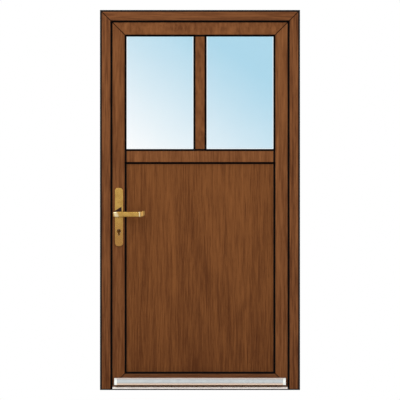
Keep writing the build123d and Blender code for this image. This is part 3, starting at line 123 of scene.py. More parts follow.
# %% Network
class Network:
    """A node tree, with one way to add any node to it."""

    def __init__(self, tree):
        self.tree = tree

    def node(self, kind, settings, sockets, output=0):
        """Any node: its type, its settings, and values or flows for its sockets."""
        made = self.tree.nodes.new(kind)
        for name, value in settings.items():
            setattr(made, name, value)
        for name, value in sockets.items():
            self.join(made.inputs[name], value)
        return Flow(self, made.outputs[output])

    def join(self, socket, value):
        """Feeds a socket with a flow or a plain value."""
        if isinstance(value, Flow):
            self.tree.links.new(value.socket, socket)
        else:
            socket.default_value = value

    def seen(self):
        """1 for what the camera sees, straight, mirrored or through glass, and 0 for other light."""
        camera, glossy, through = (
            self.node("ShaderNodeLightPath", {}, {}, f"Is {ray} Ray")
            for ray in ("Camera", "Glossy", "Transmission")
        )
        return camera.math("MAXIMUM", glossy).math("MAXIMUM", through)


print("a Network makes nodes and joins them")

# %% [markdown]
# A `Finish` is the network of one material. Its methods have short names for the nodes that this door
# needs again and again: a place on the door, a stretched place, noise, and a blend of two colours.


# %% Finish
class Finish(Network):
    """A material on one Principled shader."""

    def __init__(self, name):
        self.material = bpy.data.materials.new(name)
        self.material.use_nodes = True
        super().__init__(self.material.node_tree)
        self.shader = self.tree.nodes["Principled BSDF"]

    def shade(self, **values):
        """Sets the shader's sockets; Base_Color stands for Base Color."""
        for name, value in values.items():
            self.join(self.shader.inputs[name.replace("_", " ")], value)
        return self

    def place(self):
        """Where a point lies on the door, in metres."""
        return self.node("ShaderNodeTexCoord", {}, {}, "Object")

    def stretch(self, vector, factors, shift=(0.0, 0.0, 0.0)):
        """A vector scaled along each axis and then moved."""
        scaled = self.node("ShaderNodeVectorMath", {"operation": "MULTIPLY"}, {0: vector, 1: factors})
        return self.node("ShaderNodeVectorMath", {"operation": "ADD"}, {0: scaled, 1: shift})

    def axes(self, vector):
        """The three parts of a vector."""
        split = self.tree.nodes.new("ShaderNodeSeparateXYZ")
        self.join(split.inputs[0], vector)
        return [Flow(self, output) for output in split.outputs]

    def noise(self, vector, scale, detail=3.0, roughness=0.5):
        """Soft random values about one half."""
        sockets = {"Vector": vector, "Scale": scale, "Detail": detail, "Roughness": roughness}
        return self.node("ShaderNodeTexNoise", {}, sockets)

    def blend(self, share, first, second):
        """A colour between two colours."""
        settings = {"data_type": "RGBA"}
        return self.node("ShaderNodeMix", settings, {0: share, 6: first, 7: second}, 2)

    def emboss(self, height, depth):
        """Turns a height into a tilt of the surface."""
        sockets = {"Height": height, "Distance": depth, "Strength": 1.0}
        return self.node("ShaderNodeBump", {}, sockets, "Normal")


print("a Finish is one Principled shader and the network that feeds it")

# %% [markdown]
# Paint and foil are chosen by how they look on a screen, but shaders work in linear light. One function
# goes from the first to the second, so that every colour below can be written as screen levels.


# %% Screen colours
def colour(red, green, blue):
    """A screen colour, 0 to 255, as the linear colour that shaders work in."""
    def linear(level):
        level /= 255
        return level / 12.92 if level <= 0.04045 else ((level + 0.055) / 1.055) ** 2.4
    return (*map(linear, (red, green, blue)), 1.0)


black, white = colour(4, 1, 0), colour(255, 255, 255)
print("middle grey in linear light:", round(colour(128, 128, 128)[0], 3))

# %% [markdown]
# ## Wood-grain foil
#
# The profiles are extruded plastic wrapped in a printed foil. The print is a picture of wood, so it has
# slow changes of tone, streaks along the grain and short dark pores, and the film is embossed so that the
# pores catch the light. A picture of a board could be laid on the pieces, but it would show seams and
# repeats. Noise that is drawn out along the grain has neither, and each piece can take its own stretch of
# an endless roll.

# %% Printed and embossed foil
UPRIGHT = (1.0, 1.0, 0.045)
LEVEL = (0.045, 1.0, 1.0)
BLOTCHED = (0.3, 1.0, 0.12)
tone_scale, streak_scale, hair_scale, pore_scale = 7.0, 85.0, 260.0, 520.0
tone_weight, streak_weight, hair_weight, pore_weight = 0.7, 1.4, 0.75, 0.22
emboss_depth = 0.12 * millimetre


def wood_foil(name, grain, dark, light, roll, contrast=1.0, figure_and_shade=None, marks=(), turn=None):
    """Printed and embossed foil: grain says which way the wood runs, roll where on the roll it was cut.

    contrast is the strength of the grain, the argument after it adds drawn arches of the wood and painted
    shade to the print, turn says where the grain changes to level, and marks are pairs of a function that
    says where the foil is missing or in shade, and the colour there."""
    finish = Finish(name)
    spot = finish.place()
    cut = (roll, roll * 0.7, roll * 1.3)
    run = finish.stretch(spot, grain, cut)
    if turn:
        run = finish.blend(turn(finish, spot), run, finish.stretch(spot, LEVEL, cut))
    slow = finish.noise(run, tone_scale, 2.0)
    fine = finish.noise(run, streak_scale, 4.0, 0.6)
    hair = finish.noise(run, hair_scale, 2.0, 0.6)
    pores = finish.noise(run, pore_scale, 1.0).rise(0.6, 0.72)
    tone = 0.5 + (slow - 0.5) * (tone_weight * contrast) + (fine - 0.5) * (streak_weight * contrast)
    tone = tone + (hair - 0.5) * hair_weight - pores * pore_weight
    if figure_and_shade:
        tone = tone + figure_and_shade(finish, spot)
    print_colour = finish.blend(tone.rise(0.0, 1.0), dark, light)
    for where, tint in marks:
        print_colour = finish.blend(where(finish, spot), print_colour, tint)
    height = hair * 0.4 - pores
    return finish.shade(
        Base_Color=print_colour,
        Roughness=0.5 + (fine - 0.5) * 0.2 + pores * 0.15,
        Specular_IOR_Level=0.1,
        Normal=finish.emboss(height, emboss_depth),
    ).material


print("streaks are", round(1 / UPRIGHT[2]), "times as long as they are wide")

# %% [markdown]
# The panel is printed as one wide board sawn through the heart, whose rings show as tall arches. The
# arches are the sine of a parabola that a slow noise bends. Painted shade makes the panel darker towards
# the floor and towards the right. The other upright pieces have no arches, but painted shade darkens them
# a little from breast height down to the floor.

# %% Figure of the wood and painted shade
breast_height = 1.2
heart_x = 0.06
arch_steepness, arch_climb, arch_sway, ring_count = 30.0, 1.5, 4.0, 5.0


def cathedral_and_shade(finish, spot):
    """Arched rings of a board sawn through the heart, with painted shade towards the floor and the right.
    """
    across, _, up = finish.axes(spot)
    sway = finish.noise(finish.stretch(spot, (1.6, 1.0, 0.5), (3.1, 0.0, 1.7)), 2.2, 2.0)
    centre = across - heart_x + (sway - 0.5) * 0.5
    arch = centre * centre * arch_steepness - up * arch_climb + sway * arch_sway
    rings = (arch * ring_count).math("SINE")
    weight = (1.0 - (centre * centre * 20.0).rise(0.0, 1.0)) * 0.07
    # painted shade: darker towards the floor and towards the right
    return rings * weight + (up - 0.7) * 0.14 - across * 0.12


def painted_floor_shade(finish, spot):
    """Painted shade: slow darkening of the upright pieces from breast height down to the floor."""
    up = finish.axes(spot)[2]
    return (up.math("MINIMUM", breast_height) - breast_height) * 0.1


print("figures: cathedral on the panel, painted_floor_shade on the uprights")

# %% [markdown]
# ## Measures of the door
#
# Marks, joint lines and screws have to sit where the pieces meet. Their places could be typed in, but
# then they would be left behind when the door changes size. So they are all taken from the boxes of the
# solids: the doorway inside the frame, and the three lights inside the leaf.

# %% Doorway and lights
jamb_low, jamb_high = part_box("frame_jamb_lock")
head_low, head_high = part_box("frame_head")
stile_low, stile_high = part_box("leaf_stile_lock")
transom_low, transom_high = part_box("leaf_transom")
mullion_low, mullion_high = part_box("leaf_mullion")
light_top, light_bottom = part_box("leaf_rail_top")[0].z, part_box("leaf_rail_bottom")[1].z
doorway = Vector((jamb_high.x, 0.0, -1.0)), Vector((-jamb_high.x, 0.0, head_low.z))
lights = {
    "left": (Vector((stile_high.x, 0, transom_high.z)), Vector((mullion_low.x, 0, light_top))),
    "right": (Vector((mullion_high.x, 0, transom_high.z)), Vector((-stile_high.x, 0, light_top))),
    "panel": (Vector((stile_high.x, 0, light_bottom)), Vector((-stile_high.x, 0, transom_low.z))),
}
for name, (low, high) in lights.items():
    print(name, "light, mm:", [round(size / millimetre) for size in (high - low).xz])

# %% [markdown]
# ## Where the foil stops
#
# The foil ends short of the wall side of the frame, and there a bead of black sealant runs round the
# front. The rounded lips beside the seals stay in shade. Cutting these strips into the solids would change
# the pieces, so they are colours: a function says how far a point lies outside a rectangle of the front
# view, and a soft step turns that into a mark.

# %% Marks on the foil
foil_stop = 10.5 * millimetre
chamfer = 8 * millimetre
lip_shade = 1.6 * millimetre
soft_edge = 0.8 * millimetre
bedding = 7 * millimetre
whole_frame = Vector((head_low.x, head_low.y, jamb_low.z - foil_stop)), head_high


def past(finish, spot, low, high):
    """How far a point lies beyond a rectangle, sideways and upright; less than 0 inside."""
    across, _, up = finish.axes(spot)
    middle_x, middle_z = (low.x + high.x) / 2, (low.z + high.z) / 2
    past_x = (across - middle_x).math("ABSOLUTE") - (high.x - low.x) / 2
    past_z = (up - middle_z).math("ABSOLUTE") - (high.z - low.z) / 2
    return past_x, past_z


def outside(finish, spot, low, high, margin):
    """0 in a rectangle that is drawn in by a margin, 1 beyond it."""
    past_x, past_z = past(finish, spot, low, high)
    return (past_x.math("MAXIMUM", past_z) + margin).rise(0.0, soft_edge)


def wall_side(finish, spot):
    """1 on the faces of the frame that go against the wall and have no foil."""
    return outside(finish, spot, *whole_frame, soft_edge)


def frame_edges(finish, spot):
    """1 on the black lines of the frame: the sealant round its front, the bedding strip, and painted shade
    on the lip.
    """
    _, deep, up = finish.axes(spot)
    front = 1.0 - deep.rise(jamb_low.y + chamfer, jamb_low.y + chamfer + soft_edge)
    wall = outside(finish, spot, *whole_frame, foil_stop) * front
    # painted shade on the rounded lip of the frame
    lip = 1.0 - outside(finish, spot, *doorway, -lip_shade)
    foot = 1.0 - up.rise(bedding - soft_edge, bedding)
    return wall.math("MAXIMUM", lip).math("MAXIMUM", foot)


def leaf_edges(finish, spot):
    """1 on the rounded lips round the two lights and the panel, which stay in shade."""
    shade = 1.0 - outside(finish, spot, *lights["left"], -lip_shade)
    for name in ("right", "panel"):
        shade = shade.math("MAXIMUM", 1.0 - outside(finish, spot, *lights[name], -lip_shade))
    return shade


print("foil stops", round(foil_stop / millimetre, 1), "mm from the wall side")

# %% [markdown]
# A glazing bead is one solid for all four sides of a light, but on the real door it is four strips with
# the grain along each. The grain turns at the mitres, which is where a point lies as far beyond the light
# sideways as upright.


# %% Turn of the grain on the beads
def level_bead(light):
    """1 on the two level beads of a light, 0 on the two upright ones; the change follows the mitres."""
    def share(finish, spot):
        past_x, past_z = past(finish, spot, *lights[light])
        return (past_z - past_x).rise(0.0, 0.1 * millimetre)
    return share


print("beads that turn the grain:", len(lights))

# %% [markdown]
# ## Foil on the pieces
#
# Each piece has its own cut: the way of the grain, the stretch of the roll and the strength of the grain.
# The frame is a shade darker than the leaf, and the bottom rail is printed darker than the rest of the
# leaf. A table keeps the cuts together, so that neighbours can be compared.

# %% Colours and cuts
core_brown = colour(52, 31, 20)
frame_dark, frame_light = colour(73, 35, 8), colour(127, 78, 42)
leaf_dark, leaf_light = colour(84, 43, 13), colour(137, 86, 47)
lower_rail_dark, lower_rail_light = colour(70, 36, 12), colour(118, 74, 42)
panel_dark, panel_light = colour(74, 35, 4), colour(129, 78, 37)
foil_cuts = {
    "frame_jamb_lock": (UPRIGHT, 0.0, 1.3),
    "frame_jamb_hinge": (UPRIGHT, 3.7, 1.3),
    "frame_head": (LEVEL, 5.2, 0.9),
    "leaf_stile_lock": (UPRIGHT, 8.1, 0.85),
    "leaf_stile_hinge": (UPRIGHT, 11.4, 0.85),
    "leaf_rail_top": (BLOTCHED, 13.9, 0.6),
    "leaf_rail_bottom": (LEVEL, 17.3, 0.85),
    "leaf_transom": (UPRIGHT, 19.6, 0.75),
    "leaf_mullion": (BLOTCHED, 23.5, 0.6),
    "glazing_beads_left": (UPRIGHT, 26.2, 1.0),
    "glazing_beads_right": (UPRIGHT, 29.8, 1.0),
    "glazing_beads_panel": (UPRIGHT, 31.7, 1.0),
}
print("cuts of foil:", len(foil_cuts))

# %% [markdown]
# Wrapping a piece means giving its solid one material, made for its own cut. The frame and the leaf carry
# the marks from above, the beads turn their grain, and the panel has its arches.

# %% Wrap the pieces
frame_marks = [(wall_side, core_brown), (frame_edges, black)]
leaf_marks = [(leaf_edges, black)]


def dress(node, material):
    """Gives a CAD solid its only material."""
    nodes[node].data.materials.clear()
    nodes[node].data.materials.append(material)


for piece, (grain, roll, contrast) in foil_cuts.items():
    name = f"foil on {piece}"
    # upright pieces take painted shade towards the floor
    shade = painted_floor_shade if grain is UPRIGHT else None
    if piece.startswith("frame"):
        foil = wood_foil(name, grain, frame_dark, frame_light, roll, contrast, shade, frame_marks)
    elif piece == "leaf_rail_bottom":
        # the bottom rail is printed darker than the rest of the leaf
        foil = wood_foil(name, grain, lower_rail_dark, lower_rail_light, roll, contrast, marks=leaf_marks)
    elif piece.startswith("leaf"):
        foil = wood_foil(name, grain, leaf_dark, leaf_light, roll, contrast, shade, leaf_marks)
    else:
        around = level_bead(piece.removeprefix("glazing_beads_"))
        foil = wood_foil(name, grain, leaf_dark, leaf_light, roll, contrast, turn=around)
    dress(piece, foil)
# the panel's print carries its arches and painted shade
panel_foil = wood_foil("foil on the panel", UPRIGHT, panel_dark, panel_light, 41.3, 0.6, cathedral_and_shade)
dress("infill_panel", panel_foil)
print("foiled pieces:", len(foil_cuts) + 1)

# %% [markdown]
# ## Metals
#
# Brass handles are cast, polished and lacquered. Extruded aluminium keeps faint lines along its length.
# Zinc-plated steel is dull and mottled. What they share is cloudy wear, in colour and in gloss, and fine
# lines left by their making, so one function makes all of them and the numbers tell them apart.

# %% Metal
cloud_scale, scratch_scale = 38.0, 900.0
EVERY_WAY = (1.0, 1.0, 1.0)
ALONG_X = (0.01, 1.0, 1.0)


def metal(name, base, worn, roughness, lines=EVERY_WAY, depth=0.04, bare=1.0, coat=0.0, marks=()):
    """Metal with cloudy wear in its colour and gloss, and fine lines left by its making.

    depth is that of the lines in millimetres. bare is 1 for naked metal and less under an anodised skin;
    coat is the share of clear lacquer on it. marks are pairs of a function that says where a mark lies,
    and the mark's colour."""
    finish = Finish(name)
    spot = finish.place()
    cloud = finish.noise(spot, cloud_scale, 3.0)
    scratch = finish.noise(finish.stretch(spot, lines), scratch_scale, 2.0)
    skin = finish.blend(cloud.rise(0.35, 0.7), base, worn)
    for where, tint in marks:
        skin = finish.blend(where(finish, spot), skin, tint)
    return finish.shade(
        Base_Color=skin,
        Metallic=bare,
        Coat_Weight=coat,
        Coat_Roughness=0.12,
        Roughness=roughness + (cloud - 0.5) * 0.16 + (scratch - 0.5) * 0.1,
        Normal=finish.emboss(scratch, depth * millimetre),
    ).material


print("lines along an extrusion are", round(1 / ALONG_X[0]), "times as long as they are wide")

# %% [markdown]
# The outer plate carries painted shade: a dark ring round the cylinder, and a painted shadow, almost
# black, above the lever's neck. Its lower half is also darker. These marks lie at fixed places on the
# brass, so they are measured from the plate, the lever and the cylinder.

# %% Marks on the plate
plate_low, plate_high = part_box("handle_plate_outer")
lever_low, lever_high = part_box("lever_outer")
cylinder_low, cylinder_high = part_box("cylinder_body")
cylinder_half = (cylinder_high.x - cylinder_low.x) / 2
neck_shadow_height = 30 * millimetre
ring_shade_start, ring_shade_end = 1 * millimetre, 5 * millimetre


def band(value, start, end):
    """1 between two values, with soft ends."""
    return value.rise(start - soft_edge, start) * (1.0 - value.rise(end, end + soft_edge))


def painted_neck_shadow(finish, spot):
    """Painted shadow: a dark patch on the plate above the lever's neck."""
    across, _, up = finish.axes(spot)
    share = (across - plate_low.x) / (plate_high.x - plate_low.x)
    height = (up - lever_high.z) / neck_shadow_height
    rough = (finish.noise(spot, 160.0) - 0.5) * 0.3
    slant = (share + rough - height).rise(0.0, 0.16)
    return slant * band(height, -0.6, 1.0) * (1.0 - share.rise(0.76, 0.88))


def painted_cylinder_shade(finish, spot):
    """Painted shade: a dark ring on the plate round the cylinder."""
    across, _, up = finish.axes(spot)
    x = across - (cylinder_low.x + cylinder_high.x) / 2
    z = up - (cylinder_high.z - cylinder_half)
    distance = (x * x + z * z) ** 0.5
    return 1.0 - distance.rise(cylinder_half + ring_shade_start, cylinder_half + ring_shade_end)


def darker_lower_half(finish, spot):
    """Darker lower half of the plate."""
    return 1.0 - finish.axes(spot)[2].rise(cylinder_low.z - 20 * millimetre, lever_high.z)


print("plate height, mm:", round((plate_high.z - plate_low.z) / millimetre))

# %% [markdown]
# The lever's elbow and its ring carry a painted highlight, and its tip painted shade. The painted
# highlight on the elbow ends on a slant.

# %% Marks on the lever
ring_start, ring_end = 31.5 * millimetre, 26 * millimetre
elbow_start = -6 * millimetre, 2 * millimetre
elbow_end = 24 * millimetre, 38 * millimetre


def painted_highlight(finish, spot):
    """Painted highlight on the lever's ring, and in a slanting patch on its elbow."""
    across, _, up = finish.axes(spot)
    reach = across - lever_low.x
    start = (reach - (lever_high.z - up) * 0.3).rise(*elbow_start)
    end = 1.0 - (reach + (up - lever_low.z) * 0.4).rise(*elbow_end)
    ring = band(across, lever_high.x - ring_start, lever_high.x - ring_end)
    return (start * end * 0.68).math("MAXIMUM", ring * 0.75)


def painted_tip_shade(finish, spot):
    """Painted shade: darker brass on the lever's tip."""
    tip = lever_high.x - ring_end
    return finish.axes(spot)[0].rise(tip, tip + 3 * millimetre)


print("lever length, mm:", round((lever_high.x - lever_low.x) / millimetre))

# %% [markdown]
# The outer plate and lever carry these marks. The inner ones are plain brass. The cylinder is
# unlacquered and dark all over.

# %% Brass
brass_bright, brass_worn = colour(183, 145, 71), colour(164, 125, 57)
# painted shadow above the lever's neck, painted shade round the cylinder, and a darker lower half
plate_marks = [
    (darker_lower_half, colour(158, 115, 55)),
    (painted_neck_shadow, colour(40, 14, 8)),
    # painted shade round the cylinder
    (painted_cylinder_shade, colour(92, 60, 22)),
]
# painted highlight on the lever's elbow and ring, and painted shade on its tip
lever_marks = [(painted_highlight, colour(228, 214, 178)), (painted_tip_shade, colour(166, 126, 64))]
brass = metal("polished brass", brass_bright, brass_worn, 0.25, coat=0.3)
plate_brass = metal("handle plate brass", brass_bright, brass_worn, 0.27, coat=0.3, marks=plate_marks)
lever_brass = metal("lever brass", brass_bright, brass_worn, 0.27, coat=0.3, marks=lever_marks)
dark_brass = metal("dark cylinder brass", colour(86, 55, 19), colour(68, 42, 13), 0.55)
dress("handle_plate_outer", plate_brass)
dress("lever_outer", lever_brass)
for piece in ("handle_plate_inner", "lever_inner", "handle_screws"):
    dress(piece, brass)
for piece in ("cylinder_body", "cylinder_plugs", "cylinder_cam"):
    dress(piece, dark_brass)
print("brass finishes:", brass.name, plate_brass.name, lever_brass.name, dark_brass.name)

# %% [markdown]
# The weather bar throws rain clear of the threshold. Both are anodised, which is why they are only partly
# mirrors: the skin scatters most of the light. The bar carries a painted highlight along its top, which
# faces the sky, and painted warm light along its foot, which faces the ground. The threshold lies on a
# black bedding strip.

# %% Aluminium
bar_low, bar_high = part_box("weather_bar")
sky_start, sky_end = bar_high.z - 10 * millimetre, bar_high.z - 4 * millimetre
ground_start, ground_end = bar_low.z + 4 * millimetre, bar_low.z + 14 * millimetre


def painted_sky_highlight(finish, spot):
    """1 on the painted highlight along the top of the weather bar, which faces the sky."""
    return finish.axes(spot)[2].rise(sky_start, sky_end)


def painted_ground_light(finish, spot):
    """1 on the painted warm light along the foot of the weather bar, which faces the ground."""
    return 1.0 - finish.axes(spot)[2].rise(ground_start, ground_end)


def bedding_strip(finish, spot):
    """1 on the black strip that the threshold is bedded on."""
    return 1.0 - finish.axes(spot)[2].rise(bedding - soft_edge, bedding)


# painted light on the bar: a pale highlight on top and warm light at the foot
bar_marks = [(painted_sky_highlight, colour(238, 231, 224)), (painted_ground_light, colour(222, 196, 174))]
bar_aluminium = metal(
    "satin aluminium", colour(183, 189, 190), colour(177, 183, 185), 0.5,
    ALONG_X, 0.02, bare=0.3, marks=bar_marks,
)
sill_aluminium = metal(
    "threshold aluminium", colour(255, 247, 241), colour(250, 240, 234), 0.5,
    ALONG_X, 0.01, bare=0.2, marks=[(bedding_strip, black)],
)
dress("weather_bar", bar_aluminium)
dress("threshold", sill_aluminium)
print("aluminium finishes:", bar_aluminium.name, sill_aluminium.name)

# %% [markdown]
# The lock, the keep, the hinge pins and the screws are zinc-plated steel, and so are the stiffeners inside
# the profiles. The spacers between the sheets of glass are bare aluminium, but so little of them shows
# that the same dull grey serves.

# %% Plated steel
zinc = metal("zinc-plated steel", colour(186, 188, 190), colour(164, 166, 168), 0.38)
plated = [
    "frame_steels", "leaf_steels", "hinge_pins", "hinge_screws_frame", "hinge_screws_leaf",
    "strike_keep", "strike_keep_screws", "lock_faceplate", "lock_screws", "lock_case", "lock_follower",
    "latch_bolt", "deadbolt", "spindle", "glass_left_spacer", "glass_right_spacer",
]
for piece in plated:
    dress(piece, zinc)
print("plated pieces:", len(plated))

# %% [markdown]
# ## Rubber, plastic and paint
#
# Seals are black rubber with a dull skin. The bar's end caps are white moulded plastic. Hinges are powder
# coated in brown, which leaves a fine orange-peel surface. All three are a plain colour with a fine random
# skin, so one function makes them.


# %% Dull finishes
def dull(name, base, other, roughness, grain, depth, shine=0.25, low=None):
    """A coloured surface with a fine random skin, its depth in millimetres.

    low is a height and the colour below it."""
    finish = Finish(name)
    spot = finish.place()
    skin = finish.noise(spot, grain, 2.0)
    tint = finish.blend(skin.rise(0.35, 0.65), base, other)
    if low:
        height, under = low
        tint = finish.blend(finish.axes(spot)[2].rise(height, height + millimetre), under, tint)
    return finish.shade(
        Base_Color=tint,
        Roughness=roughness + (skin - 0.5) * 0.2,
        Specular_IOR_Level=shine,
        Normal=finish.emboss(skin, depth * millimetre),
    ).material


soot, soot_worn, shaded_foil_brown = colour(3, 1, 1), colour(6, 4, 4), colour(124, 88, 60)
no_shine = 0.07
rubber = dull("seal rubber", soot, soot_worn, 0.85, 400.0, 0.05, no_shine)
# below the foot of the weather bar the seal takes the brown of foil in shade: painted shade
frame_rubber = dull("frame seal rubber", soot, soot_worn, 0.85, 400.0, 0.05, no_shine, (bar_low.z, shaded_foil_brown))
cap_plastic = dull("white plastic", colour(248, 250, 244), colour(240, 242, 236), 0.4, 300.0, 0.03)
hinge_paint = dull("brown powder coat", colour(72, 46, 32), colour(64, 40, 27), 0.45, 700.0, 0.06)
for piece in nodes:
    if "gasket" in piece or piece.endswith("seal"):
        dress(piece, rubber)
    if piece.startswith("hinge_frame") or piece.startswith("hinge_leaf"):
        dress(piece, hinge_paint)
dress("frame_seal", frame_rubber)
dress("weather_bar_caps", cap_plastic)
print("dull finishes:", rubber.name, frame_rubber.name, cap_plastic.name, hinge_paint.name)

# %% [markdown]
# ## Glass
#
# Each light is a sealed unit of two sheets of float glass, flat but for a faint ripple. A see-through
# colour would do from the front, but real transmission also bends and mirrors what is round the door.


# %% Float glass
def glass(name, tint, base):
    """Clear float glass; tint gives how pale it looks at a point, from 0 to 1, and base the full colour."""
    finish = Finish(name)
    ripple = finish.noise(finish.place(), 3.0, 1.0)
    return finish.shade(
        Base_Color=finish.blend(tint(finish), base, white),
        Roughness=ripple * 0.02,
        Transmission_Weight=1.0,
        IOR=1.45,
    ).material


print("glass has an IOR of 1.45")

# %% [markdown]
# Real glass takes its colour from what it mirrors, which is a clear sky here: deep blue to the upper
# right, fading to a white haze at the lower left. A painted sky behind the camera would have to be turned
# with every view. So the sky's reflection is painted as a tint in the outer sheet that follows one
# diagonal over both lights, with a painted highlight along the sides and the foot of each light, and the
# inner sheet stays clear.

# %% Sky in the outer sheet
edge_reach = 14 * millimetre


def painted_edge_highlight(finish):
    """Painted highlight: 1 along the sides and the foot of each light."""
    spot = finish.place()
    up = finish.axes(spot)[2]
    ways_in = []
    for name in ("left", "right"):
        low, high = lights[name]
        past_x, _ = past(finish, spot, low, high)
        ways_in.append(past_x.math("MAXIMUM", low.z - up))
    return (ways_in[0].math("MINIMUM", ways_in[1]) + edge_reach).rise(0.0, soft_edge)


def painted_sky_reflection(finish):
    """Painted reflection of the sky: 1 at the lower left of the lights and 0 at their upper right."""
    across, _, up = finish.axes(finish.place())
    cloud = finish.noise(finish.place(), 6.0, 3.0)
    low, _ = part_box("glass_left_outer_pane")
    haze = 1.0 - (across - low.x) * 0.74 - (up - low.z) + (cloud - 0.5) * 0.06
    haze = haze.math("MAXIMUM", 0.0) ** 1.2
    # painted highlight along the edges of the lights
    return haze + (1.0 - haze) * painted_edge_highlight(finish) * 0.6


def clear(finish):
    """Almost no tint, and that little changes slowly over the sheet."""
    return finish.noise(finish.place(), 2.0).rise(-1.0, 0.5)


# the outer sheet carries the painted reflection of the sky
outer_glass = glass("outer sheet", painted_sky_reflection, colour(173, 216, 235))
inner_glass = glass("inner sheet", clear, colour(240, 248, 248))
for side in ("left", "right"):
    dress(f"glass_{side}_outer_pane", outer_glass)
    dress(f"glass_{side}_inner_pane", inner_glass)
print("glass finishes:", outer_glass.name, inner_glass.name)

# %% [markdown]
# ## Joint lines
#
# Where two profiles meet, the saw cut shows as a thin dark line: on the diagonal at welded corners, and
# straight across at the ends of the transom and the mullion, where a black rubber pad closes the joint.
# A line could be painted into the foil, but a thin bar on the face also shows from the side and keeps its
# edge. The bars of one kind make one piece, which rides with the body under it.

# %% Bars on faces
FRONT, BACK = (0.0, -1.0, 0.0), (0.0, 1.0, 0.0)
SIDES = (-1, 1)
BOX_FACES = [(0, 3, 2, 1), (4, 5, 6, 7), (0, 1, 5, 4), (1, 2, 6, 5), (2, 3, 7, 6), (3, 0, 4, 7)]
proud = 0.25 * millimetre


def bars(name, rows, width, height, material, body):
    """One piece made of thin bars; a row is (start, end, outward direction of the face under it)."""
    mesh = bpy.data.meshes.new(name)
    points, faces = [], []
    for start, end, outward in rows:
        start, end, outward = Vector(start), Vector(end), Vector(outward)
        across = outward.cross(end - start).normalized() * width / 2
        foot = [start - across, end - across, end + across, start + across]
        first = len(points)
        points += foot + [corner + outward * height for corner in foot]
        faces += [[first + corner for corner in face] for face in BOX_FACES]
    mesh.from_pydata(points, [], faces)
    mesh.materials.append(material)
    piece = bpy.data.objects.new(name, mesh)
    bpy.context.scene.collection.objects.link(piece)
    print(name, len(rows))
    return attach(piece, body)


print("bars stand", proud / millimetre, "mm proud")

# %% [markdown]
# The outer corners come first. On the outside a mitre runs from the frame's edge to its lip, and from
# the lip of the frame to the glass. On the inside it runs over the flange of the leaf to the glazing beads,
# and there the cut is finer.

# %% Mitres of the frame and the leaf
saw_line = dull("saw cut", colour(30, 12, 2), colour(44, 20, 5), 0.8, 300.0, 0.03, no_shine)
saw_width, fine_saw_width = 4.6 * millimetre, 1.4 * millimetre
bead_tongue = 2.2 * millimetre
lip_x = -stile_high.x
edge_x, edge_z = doorway[1].x, doorway[1].z
front_y, back_y = stile_low.y, stile_high.y
foot_z, top_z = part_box("leaf_rail_bottom")[0].z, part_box("leaf_rail_top")[1].z
panel_bead_low, panel_bead_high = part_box("glazing_beads_panel")
bead_x = panel_bead_high.x - bead_tongue
bead_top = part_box("glazing_beads_left")[1].z - bead_tongue
bead_foot = panel_bead_low.z + bead_tongue
step, drop = edge_x - lip_x, light_bottom - foot_z
rise, fall = top_z - bead_top, bead_foot - foot_z
frame_rows, leaf_rows, inner_rows = [], [], []
for way in SIDES:
    wall_corner = (way * (head_high.x - foil_stop), jamb_low.y, head_high.z - foil_stop)
    frame_rows.append((wall_corner, (way * edge_x, jamb_low.y, edge_z), FRONT))
    top_lip, foot_lip = (way * lip_x, front_y, light_top), (way * lip_x, front_y, light_bottom)
    leaf_rows.append(((way * edge_x, front_y, light_top + step), top_lip, FRONT))
    leaf_rows.append(((way * (lip_x + drop), front_y, foot_z), foot_lip, FRONT))
    top_bead, foot_bead = (way * bead_x, back_y, bead_top), (way * bead_x, back_y, bead_foot)
    inner_rows.append(((way * (bead_x + rise), back_y, top_z), top_bead, BACK))
    inner_rows.append(((way * (bead_x + fall), back_y, foot_z), foot_bead, BACK))
bars("frame_mitres", frame_rows, saw_width, proud, saw_line, "frame")
bars("leaf_mitres", leaf_rows, saw_width, proud, saw_line, "leaf")
bars("inner_leaf_mitres", inner_rows, fine_saw_width, proud, saw_line, "leaf")

# %% [markdown]
# A bead has a flat back and then slopes down to the glass, so its mitre is a level bar and a sloping one.

# %% Mitres of the beads
bead_flat, bead_slope = 10 * millimetre, 9 * millimetre
slope_foot = panel_bead_low.y + 6 * millimetre
slope_depth = back_y - slope_foot
profile = [(0.0, back_y), (bead_flat, back_y), (bead_flat + bead_slope, slope_foot)]
bead_rows = []
for light in lights:
    low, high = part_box(f"glazing_beads_{light}")
    for way_x in SIDES:
        for way_z in SIDES:
            x = (high.x if way_x > 0 else low.x) - way_x * bead_tongue
            z = (high.z if way_z > 0 else low.z) - way_z * bead_tongue
            spots = [(x - way_x * inset, y, z - way_z * inset) for inset, y in profile]
            slant = Vector((-way_x * slope_depth, bead_slope * 2, -way_z * slope_depth)).normalized()
            bead_rows += [(spots[0], spots[1], BACK), (spots[1], spots[2], slant)]
bars("bead_mitres", bead_rows, fine_saw_width, proud, saw_line, "leaf")

# %% [markdown]
# The pads at the ends of the transom and the mullion are as wide as the gaskets beside them, so that the
# black line round each light never breaks. Two rubber blocks close the ends of the threshold.

# %% Rubber pads and end blocks
pad_width = 9.5 * millimetre
pad_rows, block_rows = [], []
for way in SIDES:
    pad_x = way * (lip_x - pad_width / 2)
    pad_rows.append(((pad_x, front_y, transom_low.z), (pad_x, front_y, transom_high.z), FRONT))
for pad_z in (light_top - pad_width / 2, transom_high.z + pad_width / 2):
    pad_rows.append(((mullion_low.x, front_y, pad_z), (mullion_high.x, front_y, pad_z), FRONT))
bars("joint_pads", pad_rows, pad_width, proud, rubber, "leaf")
seal_y, sill_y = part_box("frame_seal")[0].y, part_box("threshold")[0].y
for way in SIDES:
    block_x = way * (edge_x - pad_width / 2)
    block_rows.append(((block_x, seal_y, jamb_low.z), (block_x, seal_y, bar_low.z), FRONT))
block_depth = seal_y - sill_y + proud
bars("threshold_end_blocks", block_rows, pad_width, block_depth, rubber, "frame")

